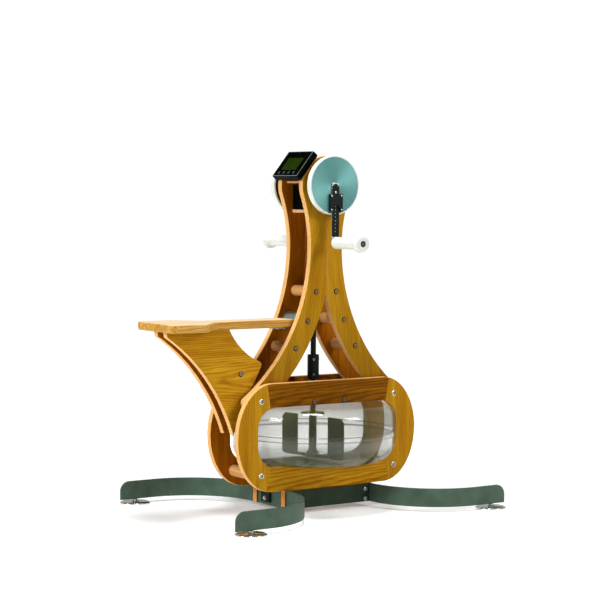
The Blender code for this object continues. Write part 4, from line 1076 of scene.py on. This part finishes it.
def make_cranks():
    axle = rod_profile(AXLE_R, DRUM_Y[1] - 0.0015, 0.001)
    add("axle_rod", lathe(axle, 48), BRIGHT, "crank", standing(0, 0, AXLE_Z), "crank_axle")
    inner, outer = DRUM_Y
    hub_r, slope_r, hollow_r = DRUM_HOLLOW_R
    floor = inner + DRUM_HOLLOW
    line = [(DRUM_BORE_R, outer - 0.001), (DRUM_RECESS_R, outer - 0.001), (DRUM_RECESS_R, outer),
            (DRUM_R, outer), (DRUM_R, inner), (hollow_r, inner), (slope_r, floor), (hub_r, floor),
            (DRUM_BORE_R, inner)]
    drum = rounded(line, [0, 0, 0.0006, 0.0014, 0.0014, 0.001, 0.002, 0.002, 0], 4)
    face = rounded(rectangle(0.0105, DRUM_FACE_R, outer - 0.0010, outer - 0.0002), [0, 0, 0.0003, 0], 2)
    # a thin black sheet across the mouth of the drum's back hollow: painted shade
    back = rounded(rectangle(hub_r + 0.0005, hollow_r + 0.0003, inner - 0.0004, inner + 0.0004), 0.0003, 2)
    for side_name, side in SIDES.items():
        place = outward(side, 0, AXLE_Z)
        add(f"{side_name}_drum_shell", lathe(drum, 128), WHITE, "crank", place,
            f"{side_name}_drum")
        add(f"{side_name}_drum_face", lathe(face, 128), DRUM_FACE, "crank", place)
        add(f"{side_name}_drum_back_shade", lathe(back, 128), SHADE_BLACK, "crank", place)
        make_clamp(side_name, side)
        make_arm(side_name, side)
        make_grip(side_name, side)


def make_clamp(side_name, side):
    """A notched cover over two blocks, between which the arm slides."""
    low, high = CLAMP_Z
    right = rounded([(0, low + CLAMP_LOW_NOTCH), (CLAMP_NOTCH_HALF, low + CLAMP_LOW_NOTCH_SIDE),
                     (CLAMP_NOTCH_HALF, low), (CLAMP_HALF, low), (CLAMP_HALF, high), (CLAMP_NOTCH_HALF, high),
                     (0, high - CLAMP_TOP_NOTCH)], [0, 0, 0, CLAMP_CORNER, CLAMP_CORNER, 0, 0], 5)
    outline = right + mirrored(right)[1:-1]
    inner = DRUM_Y[1] + GAP
    cover_low = ARM_Y[1] + GAP
    side_plate(side_name, "clamp_cover", [outline], (cover_low, CLAMP_OUTER_Y), 0.001, BLACK_STEEL, "crank",
               "clamp")
    for i, end in enumerate((-1, 1)):
        a, b = sorted((end * (ARM_HALF + GAP), end * (CLAMP_HALF - 0.0004)))
        side_plate(side_name, f"clamp_block_{i + 1}", [rounded(rectangle(a, b, low, high), 0.0012, 3)],
                   (inner, cover_low), 0.0004, BLACK_STEEL, "crank", "clamp")
    places = [outward(side, x, z, side * CLAMP_OUTER_Y) for x in (-CLAMP_SCREW_X, CLAMP_SCREW_X)
              for z in (low + CLAMP_SCREW_INSET, high - CLAMP_SCREW_INSET)]
    bolts(f"{side_name}_clamp_screws", places, "crank", PALE_HEAD, radius=0.0034, height=0.0010)


def make_arm(side_name, side):
    """A bright bar under a dark perforated strip, with the grip's spindle and the pin at the top."""
    body = f"{side_name}_crank_arm"
    corner = [(ARM_HALF, ARM_TOP_Z - ARM_CORNER), (ARM_HALF - ARM_CORNER, ARM_TOP_Z)]
    outline = arc((0, GRIP_Z), ARM_HALF, -180, 0, 32) + corner + mirrored(corner)
    side_plate(side_name, "arm_bar", [outline], (ARM_Y[0], STRIP_Y), 0.0004, BRIGHT, body,
               "arm", 2)
    low, shoulder, peak = STRIP_Z
    outline = [(-STRIP_HALF, low), (STRIP_HALF, low), (STRIP_HALF, shoulder), (0, peak),
               (-STRIP_HALF, shoulder)]
    holes = [circle((0, z), ARM_HOLE_R, 20) for z in ARM_HOLES + [ARM_PIN_Z]]
    side_plate(side_name, "arm_strap", [outline] + holes, (STRIP_Y, ARM_Y[1]), 0.0004, BLACK_STEEL, body,
               "arm", 2)
    spindle = turned(rectangle(0, SPINDLE_R, ARM_Y[1] - 0.001, SPINDLE_END_Y), [0, 0, 0.0006, 0], 2, 32)
    add(f"{side_name}_spindle", spindle, ZINC, body, outward(side, 0, GRIP_Z))
    inner, rim, edge, outer = ARM_PIN_Y
    pin = [(0, inner), (ARM_PIN_R, inner), (ARM_PIN_R, rim), (ARM_PIN_HEAD_R, rim), (ARM_PIN_HEAD_R, edge),
           (ARM_PIN_HEAD_R - 0.0003, outer), (0, outer)]
    add(f"{side_name}_arm_pin", lathe(pin, 24), BRIGHT, body, outward(side, 0, ARM_PIN_Z))


def make_grip(side_name, side):
    """A turned grip that swells to a knob, with a ring and the spindle's bolt in its end."""
    inner, outer = GRIP_Y
    corner_r = GRIP_KNOB_R - GRIP_KNOB_EDGE
    line = [(GRIP_BORE_R, outer - GRIP_RECESS), (GRIP_RECESS_R, outer - GRIP_RECESS), (GRIP_RECESS_R, outer)]
    line += arc((corner_r, outer - GRIP_KNOB_EDGE), GRIP_KNOB_EDGE, 90, 0, 12)
    for share in spaced(0, 1, 16):
        swell = (1 + math.cos(math.pi * share)) / 2
        along = outer - GRIP_FLARE[0] - (GRIP_FLARE[1] - GRIP_FLARE[0]) * share
        line.append((GRIP_R + (GRIP_KNOB_R - GRIP_R) * swell, along))
    collar, collar_slope, waist = GRIP_COLLAR
    line += rounded([(GRIP_R - 0.0004, inner + waist), (GRIP_R, inner + collar_slope),
                     (GRIP_COLLAR_R, inner + collar), (GRIP_COLLAR_R, inner), (GRIP_BORE_R, inner)],
                    [0, 0.001, 0.0005, 0.0012, 0], 6)
    body = f"{side_name}_handgrip"
    place = outward(side, 0, GRIP_Z)
    add(f"{side_name}_grip_shell", lathe(line, 72), WHITE, body, place, f"{side_name}_grip")
    line = rectangle(GRIP_BOLT_R + 0.0004, GRIP_RECESS_R - GAP, outer - GRIP_RECESS + 0.0001, outer - 0.0003)
    ring = turned(line, [0, 0, 0.0006, 0.0006], 3, 48)
    add(f"{side_name}_grip_ring", ring, RUBBER, body, place)
    bolts(f"{side_name}_grip_bolt", [outward(side, 0, GRIP_Z, side * (SPINDLE_END_Y + 0.0001))],
          f"{side_name}_crank_arm", PALE_HEAD, radius=GRIP_BOLT_R, height=0.0040)


# Console

def console_place(x=0.0, y=0.0, z=0.0, turn=None):
    """Place measured from the middle of the console's face."""
    tilt = Matrix.Rotation(-CONSOLE_TILT, 4, "Y")
    place = at(*CONSOLE_FACE) @ tilt @ Matrix.Translation((x, y, z))
    return place @ turn if turn else place


def make_console():
    """Case, face with a window and four keys, pale rim and the ridge behind."""
    half_x, half_y = CONSOLE_HALF
    lens_x, lens_y = LENS_HALF

    def frame_line(inset, corner, steps=3):
        x, y = half_x - inset, half_y - inset
        return rounded(rectangle(-x, x, -y, y), corner, steps)

    def lens_line(gap):
        x, y = lens_x + gap, lens_y + gap
        return rounded(rectangle(LENS_X - x, LENS_X + x, -y, y), 0.001, 3)

    key_y = [BUTTON_STEP * (1.5 - i) for i in range(4)]
    holes = [circle((BUTTON_X, y), BUTTON_R + GAP, 32) for y in key_y]
    back = -CONSOLE_DEPTH
    ridge = [(half_x - 0.004, back - CONSOLE_RIDGE), (half_x - 0.006, back - CONSOLE_RIDGE),
             (half_x - 0.015, back + 0.0005), (half_x - 0.001, back + 0.0005)]
    case = flat_mesh([frame_line(0, 0.002, 4), *holes], CONSOLE_DEPTH - CONSOLE_LIP, 0.002)
    plate = flat_mesh([frame_line(0.0035, 0.001), lens_line(GAP), *holes], CONSOLE_PLATE, 0.0004)
    rim = flat_mesh([frame_line(0.0012, 0.0015, 4), frame_line(0.0032, 0.001, 4)], CONSOLE_PLATE, 0.0004)
    window = flat_mesh([lens_line(0)], 0.0012, 0.0003)
    bar = flat_mesh([rounded(ridge, 0.0008, 3)], 2 * half_y - 0.012, 0.0008)
    pieces = (
        ("console_case", case, BLACK_PLASTIC, "black_plastic", console_place(z=(back - CONSOLE_LIP) / 2),
         "console_housing"),
        ("console_face_plate", plate, BLACK_GLOSS, "black_plastic", console_place(z=-CONSOLE_PLATE / 2),
         "console_housing"),
        ("console_rim", rim, RIM_GREY, "black_plastic", console_place(z=-0.0005), "console_housing"),
        ("console_window", window, DISPLAY, "display", console_place(z=-0.0005), "console_lens"),
        ("console_back_ridge", bar, BLACK_PLASTIC, "black_plastic", console_place(turn=UPRIGHT),
         "console_housing"),
    )
    for name, mesh, material, slot, place, node in pieces:
        add(name, mesh, material, "frame", place, node)
    line = [(0, 0.0018), (BUTTON_R, 0.0016), (BUTTON_R, -0.0032), (0, -0.0032)]
    for i, y in enumerate(key_y):
        cap = turned(line, [0, 0.0007, 0.0003, 0], 4, 40)
        add(f"key_cap_{i + 1}", cap, BUTTON, f"key_{i + 1}", console_place(BUTTON_X, y),
            f"button_{i + 1}")


# Seat

def seat_outline():
    """A wide board that narrows in a soft curve to the neck that runs between the bows."""
    corner = (SEAT_X[0] + SEAT_CORNER_R, SEAT_HALF - SEAT_CORNER_R)
    half = arc(corner, SEAT_CORNER_R, 180, 90, 20)
    for share in spaced(0, 1, 30):
        x = SEAT_TAPER_X[0] + (SEAT_TAPER_X[1] - SEAT_TAPER_X[0]) * share
        half.append((x, SEAT_HALF - (SEAT_HALF - SEAT_NECK_HALF) * (1 - math.cos(math.pi * share)) / 2))
    half.append((SEAT_X[1], SEAT_NECK_HALF))
    return half + flipped(half)


def bracket_outline():
    """A sickle under the seat, whose lower end rests on the upper rung of the tank panels."""
    rear, front = BRACKET_REAR, BRACKET_FRONT
    rear_x, front_x = BRACKET_TOP_X
    top = SEAT_Z[0] - GAP
    nose_reach = BRACKET_FRONT_R + BRACKET_NOSE_R
    nose = (BRACKET_NOSE_X, front[1] - math.sqrt(nose_reach ** 2 - (BRACKET_NOSE_X - front[0]) ** 2))
    rung = (-TANK_RUNG_X, TANK_RUNG_Z["top"])
    reach = math.dist(nose, rung)
    clear = TANK_RUNG_R + 2 * GAP
    lean = direction(rung, nose) + math.degrees(math.acos((clear + BRACKET_NOSE_R) / reach))
    foot = arc(rung, clear, lean, lean, 1)[0]
    tip_x = rear[0] + math.sqrt(BRACKET_REAR_R ** 2 - (BRACKET_TIP[1] - rear[1]) ** 2)
    rear_start = direction(rear, (tip_x, BRACKET_TIP[1]))
    rear_end = math.degrees(math.asin((BRACKET_CORNER_Z - rear[1]) / BRACKET_REAR_R))
    front_start = 360 + direction(front, (front_x, top))
    outline = [(rear_x, top), (front_x, top)]
    outline += arc(front, BRACKET_FRONT_R, front_start, 360 + direction(front, nose), 24)[1:]
    outline += arc(nose, BRACKET_NOSE_R, direction(nose, front), lean - 180, 10)[1:]
    outline += [foot, BRACKET_TIP]
    return outline + arc(rear, BRACKET_REAR_R, rear_start, rear_end, 48)


def make_seat():
    low, high = SEAT_Z
    board = flat_mesh([seat_outline()], high - low, 0.006, 5)
    # the top face takes the pale oak as painted sheen
    for face in board.polygons:
        face.material_index = int(face.normal.z > 0.8)
    add("seat_plank", board, [OAK_SEAT, OAK_SEAT_TOP_SHEEN], "seat", at(0, 0, (low + high) / 2),
        "seat_board")
    outline = bracket_outline()
    for side_name, side in SIDES.items():
        wooden_board(f"{side_name}_bracket_board", outline, side, BRACKET_Y, OAK_ALONG, "seat",
                     f"{side_name}_seat_bracket")
    spacer = lathe(rod_profile(SPACER_R, BRACKET_Y - BOARD / 2 - GAP, 0.001), 40)
    add("bracket_spacer", spacer, DOWEL, "seat", standing(0, *SEAT_BOLT), "seat_spacer")
    places = [outward(side, *SEAT_BOLT, side * (BRACKET_Y + BOARD / 2)) for side in SIDES.values()]
    bolts("bracket_bolts", places, "seat", DARK_HEAD)


def strip(path, half, thickness, edge):
    """A bent strip across Y. The path is (x, z) of its middle line."""
    section = rounded(rectangle(-half, half, -thickness / 2, thickness / 2), edge, 3)
    rows = [[(x + normal.x * out, across, z + normal.y * out) for across, out in section]
            for (x, z), normal in normals(path)]
    return sweep(rows, 40)


def make_seat_hook():
    """A strip screwed under the seat that bends up and round the metal tube."""
    middle_r = (SEAT_TUBE_R + GAP + 0.00004) / math.cos(math.pi / 36) + HOOK_THICK / 2
    under = SEAT_Z[0] - GAP
    tongue_z = under - HOOK_THICK / 2
    rise_x = SEAT_TUBE[0] - middle_r
    path = [(HOOK_TONGUE_X, tongue_z), (HOOK_TONGUE_X + 0.03, tongue_z)]
    path += arc((rise_x - HOOK_BEND_R, tongue_z + HOOK_BEND_R), HOOK_BEND_R, -90, 0, 8)
    path += arc(SEAT_TUBE, middle_r, 180, HOOK_END, 44)
    hook = strip(path, HOOK_HALF, HOOK_THICK, 0.001)
    add("seat_hook_strip", hook, TUBE_STEEL, "seat", at(), "seat_hook")
    down = Matrix.Rotation(math.pi, 4, "X")
    places = [at(x, y, under - HOOK_THICK, down) for x in HOOK_SCREW_X for y in (-HOOK_SCREW_Y, HOOK_SCREW_Y)]
    bolts("hook_screws", places, "seat", ZINC_HEAD, radius=0.0045)


# Base

def leg_path():
    """Middle line of the rear leg bar in (x, y), from the near end to the far end."""
    near = [(LEG_BAR_END, -FOOT_Y)]
    near += [(LEG_BAR_END - LEG_END_CORNER * (1 - math.cos(a)), -FOOT_Y)
             for a in spaced(math.radians(6), math.radians(90), 14)]
    near += [(x, -FOOT_Y) for x in spaced(LEG_BAR_END - LEG_END_CORNER, LEG_BAR_X + LEG_BEND_R, 4)[1:-1]]
    near += arc((LEG_BAR_X + LEG_BEND_R, -LEG_BAR_FLAT), LEG_BEND_R, 270, 180, 40)
    near += [(LEG_BAR_X, y) for y in spaced(-LEG_BAR_FLAT, 0, 6)[1:]]
    return near + flipped(near[:-1])


def leg_bar_mesh():
    """A leg bar on edge, whose upper corners fall away in a curve at its two ends."""
    low, high = LEG_BAR_Z
    rows = []
    for (x, y), normal in normals(leg_path()):
        into = max(0.0, x - (LEG_BAR_END - LEG_END_CORNER))
        top = high - LEG_END_CORNER + math.sqrt(max(0.0, LEG_END_CORNER ** 2 - into ** 2))
        section = rounded(rectangle(-LEG_BAR / 2, LEG_BAR / 2, low, top), LEG_EDGE, 3)
        rows.append([(x + normal.x * out, y + normal.y * out, z) for out, z in section])
    return sweep(rows, 50)


def make_base():
    """Leg bars with their blocks, base rails, side plates and the four feet."""
    for end_name, end in ENDS.items():
        mesh = leg_bar_mesh()
        if end < 0:
            mesh.transform(Matrix.Rotation(math.pi, 4, "Z"))
        add(f"{end_name}_leg_strap", mesh, STEEL_BAR, "frame", at(), f"{end_name}_leg_bar")
        face = end * (LEG_BAR_X + LEG_BAR / 2)
        low_x, high_x = sorted((face, face + end * LEG_BLOCK))
        low_y, high_y = sorted(end * y for y in LEG_BLOCK_Y)
        block = box_mesh((low_x, low_y, LEG_BLOCK_Z[0]), (high_x, high_y, LEG_BLOCK_Z[1]), LEG_EDGE)
        add(f"{end_name}_leg_block", block, BLACK_STEEL, "frame", at())
        turn = Matrix.Rotation(end * math.pi / 2, 4, "Y")
        bolt = at(face + end * LEG_BLOCK, end * LEG_BOLT[0], LEG_BOLT[1], turn)
        bolts(f"{end_name}_leg_bolt", [bolt], "frame", ZINC, hex_bolt, apothem=0.0048)
    slot_low, slot_high = LEG_BAR_X - LEG_BAR / 2 - GAP, LEG_BAR_X + LEG_BAR / 2 + GAP
    rail_low, rail_high = BASE_RAIL_Z
    half = [(slot_low, rail_low), (slot_low, LAP_Z + GAP), (slot_high, LAP_Z + GAP), (slot_high, rail_low),
            (BASE_RAIL_HALF, rail_low), (BASE_RAIL_HALF, rail_high)]
    plate = rounded(rectangle(-SIDE_PLATE_HALF, SIDE_PLATE_HALF, *SIDE_PLATE_Z), 0.002, 4)
    plate_y = (PANEL_OUTER_Y + GAP, PANEL_OUTER_Y + GAP + SIDE_PLATE_THICK)
    for side_name, side in SIDES.items():
        # the rail's ends and edges take the paler oak as painted highlight
        rail = board_faces(flat_mesh([half + mirrored(half)], BOARD, 0.001), 0)
        add(f"{side_name}_base_board", rail, [OAK_RAIL_TOP, OAK_RAIL_END_LIT], "frame",
            standing(side * PANEL_Y), f"{side_name}_base_rail")
        side_plate(side_name, "side_strap", [plate], plate_y, 0.0008, STEEL_PLATE, "frame",
                   "side_plate")
        places = [outward(side, x, z, side * plate_y[1])
                  for x in (-SIDE_BOLT_X, SIDE_BOLT_X) for z in SIDE_BOLT_Z]
        bolts(f"{side_name}_strap_bolts", places, "frame", ZINC, hex_bolt, apothem=0.0045, height=0.0035)
        for end_name, end in ENDS.items():
            make_foot(f"{side_name}_{end_name}", end * FOOT_X, side * FOOT_Y)


def make_foot(name, x, y):
    """A round foot and its threaded stud, of which four turns show."""
    body = f"{name}_levelling_foot"
    node = f"{name}_foot"
    disc = turned([(0, FOOT_TOP_Z), *FOOT_LINE, (0, 0)], [0, 0.001, 0.003, 0.004, 0.0015, 0.0008, 0], 5, 88)
    add(f"{name}_foot_disc", disc, CHROME, body, at(x, y), node)
    root, crest = STUD_R
    top = LEG_BAR_Z[0] - GAP
    low = FOOT_TOP_Z - 0.0002
    thread = [(0, top), (root, top)]
    for i in range(4):
        z = top - 0.0004 - i * STUD_PITCH
        thread += [(crest, z), (root, z - STUD_PITCH / 2)]
    thread += [(root, low), (0, low)]
    add(f"{name}_foot_stem", lathe(thread, 40), ZINC, body, at(x, y), node)


# Room

def make_floor():
    """A pale round floor that glows towards its rim, so that it melts into the white surroundings."""
    surface = Surface("floor", Specular_IOR_Level=0.2, Roughness=0.6)
    clouds = surface.noise(surface.space(), 0.8, 2)
    surface.set("Base Color", surface.ramp(clouds, [(0.3, (0.86, 0.86, 0.85)), (0.7, (0.88, 0.88, 0.87))]))
    distance = surface.add("TexGradient", {"Vector": surface.space(stretch=(FLOOR_R,) * 3)},
                           gradient_type="SPHERICAL").outputs[1]
    surface.set("Emission Color", surface.ramp(distance, [(0.0, 1.0), (0.25, 1.0), (0.60, FLOOR_GLOW)]))
    surface.set("Emission Strength", 1.0)

    def build(shape):
        shape.faces.new([shape.verts.new((x, y, 0)) for x, y in circle((0, 0), FLOOR_R, 96)])

    mesh = mesh_of(build)
    mesh.materials.append(surface.material)
    floor = bpy.data.objects.new("floor", mesh)
    bpy.context.scene.collection.objects.link(floor)


def area_light(name, location, target, size, power):
    """A square soft lamp aimed at a point."""
    light = bpy.data.lights.new(name, "AREA")
    light.shape = "SQUARE"
    light.size = size
    light.energy = power
    lamp = bpy.data.objects.new(name, light)
    lamp.location = location
    lamp.rotation_euler = (Vector(target) - Vector(location)).to_track_quat("-Z", "Y").to_euler()
    bpy.context.scene.collection.objects.link(lamp)


def make_lights():
    """White surroundings that fill the shadows only a little, and three soft lamps."""
    world = bpy.data.worlds.new("studio")
    world.use_nodes = True
    tree = world.node_tree
    background = tree.nodes["Background"]
    background.inputs["Color"].default_value = (1, 1, 1, 1)
    path = tree.nodes.new("ShaderNodeLightPath")
    fill = BACKDROP_FILL
    for ray, strength in (("Is Glossy Ray", BACKDROP_GLOSS), ("Is Camera Ray", BACKDROP_SEEN)):
        blend = tree.nodes.new("ShaderNodeMapRange")
        tree.links.new(path.outputs[ray], blend.inputs["Value"])
        feed(tree, blend.inputs["To Min"], fill)
        blend.inputs["To Max"].default_value = strength
        fill = blend.outputs[0]
    tree.links.new(fill, background.inputs["Strength"])
    bpy.context.scene.world = world
    for name, location, target, size, power in LAMPS:
        area_light(name, location, target, size, power)


def make_camera():
    yaw, pitch, roll = (math.radians(angle) for angle in CAMERA_AIM)
    ahead = Vector((math.sin(yaw) * math.cos(pitch), math.cos(yaw) * math.cos(pitch), -math.sin(pitch)))
    right = Vector((math.cos(yaw), -math.sin(yaw), 0))
    up = right.cross(ahead)
    rolled_right = right * math.cos(roll) + up * math.sin(roll)
    rolled_up = up * math.cos(roll) - right * math.sin(roll)
    place = Matrix((rolled_right, rolled_up, -ahead)).transposed().to_4x4()
    place.translation = at(*CAMERA_PLACE).translation
    lens = bpy.data.cameras.new("camera")
    lens.lens = LENS_LENGTH
    lens.sensor_width = SENSOR_WIDTH
    camera = bpy.data.objects.new("camera", lens)
    camera.matrix_world = place
    bpy.context.scene.collection.objects.link(camera)
    bpy.context.scene.camera = camera


make_camera()
make_floor()
make_lights()
bpy.context.scene.view_settings.view_transform = "Standard"
make_bows()
make_tank_panels()
make_rungs()
make_frame_bolts()
make_tank()
make_tank_top()
make_paddle()
make_shaft()
make_head()
make_cranks()
make_console()
make_seat()
make_seat_hook()
make_base()
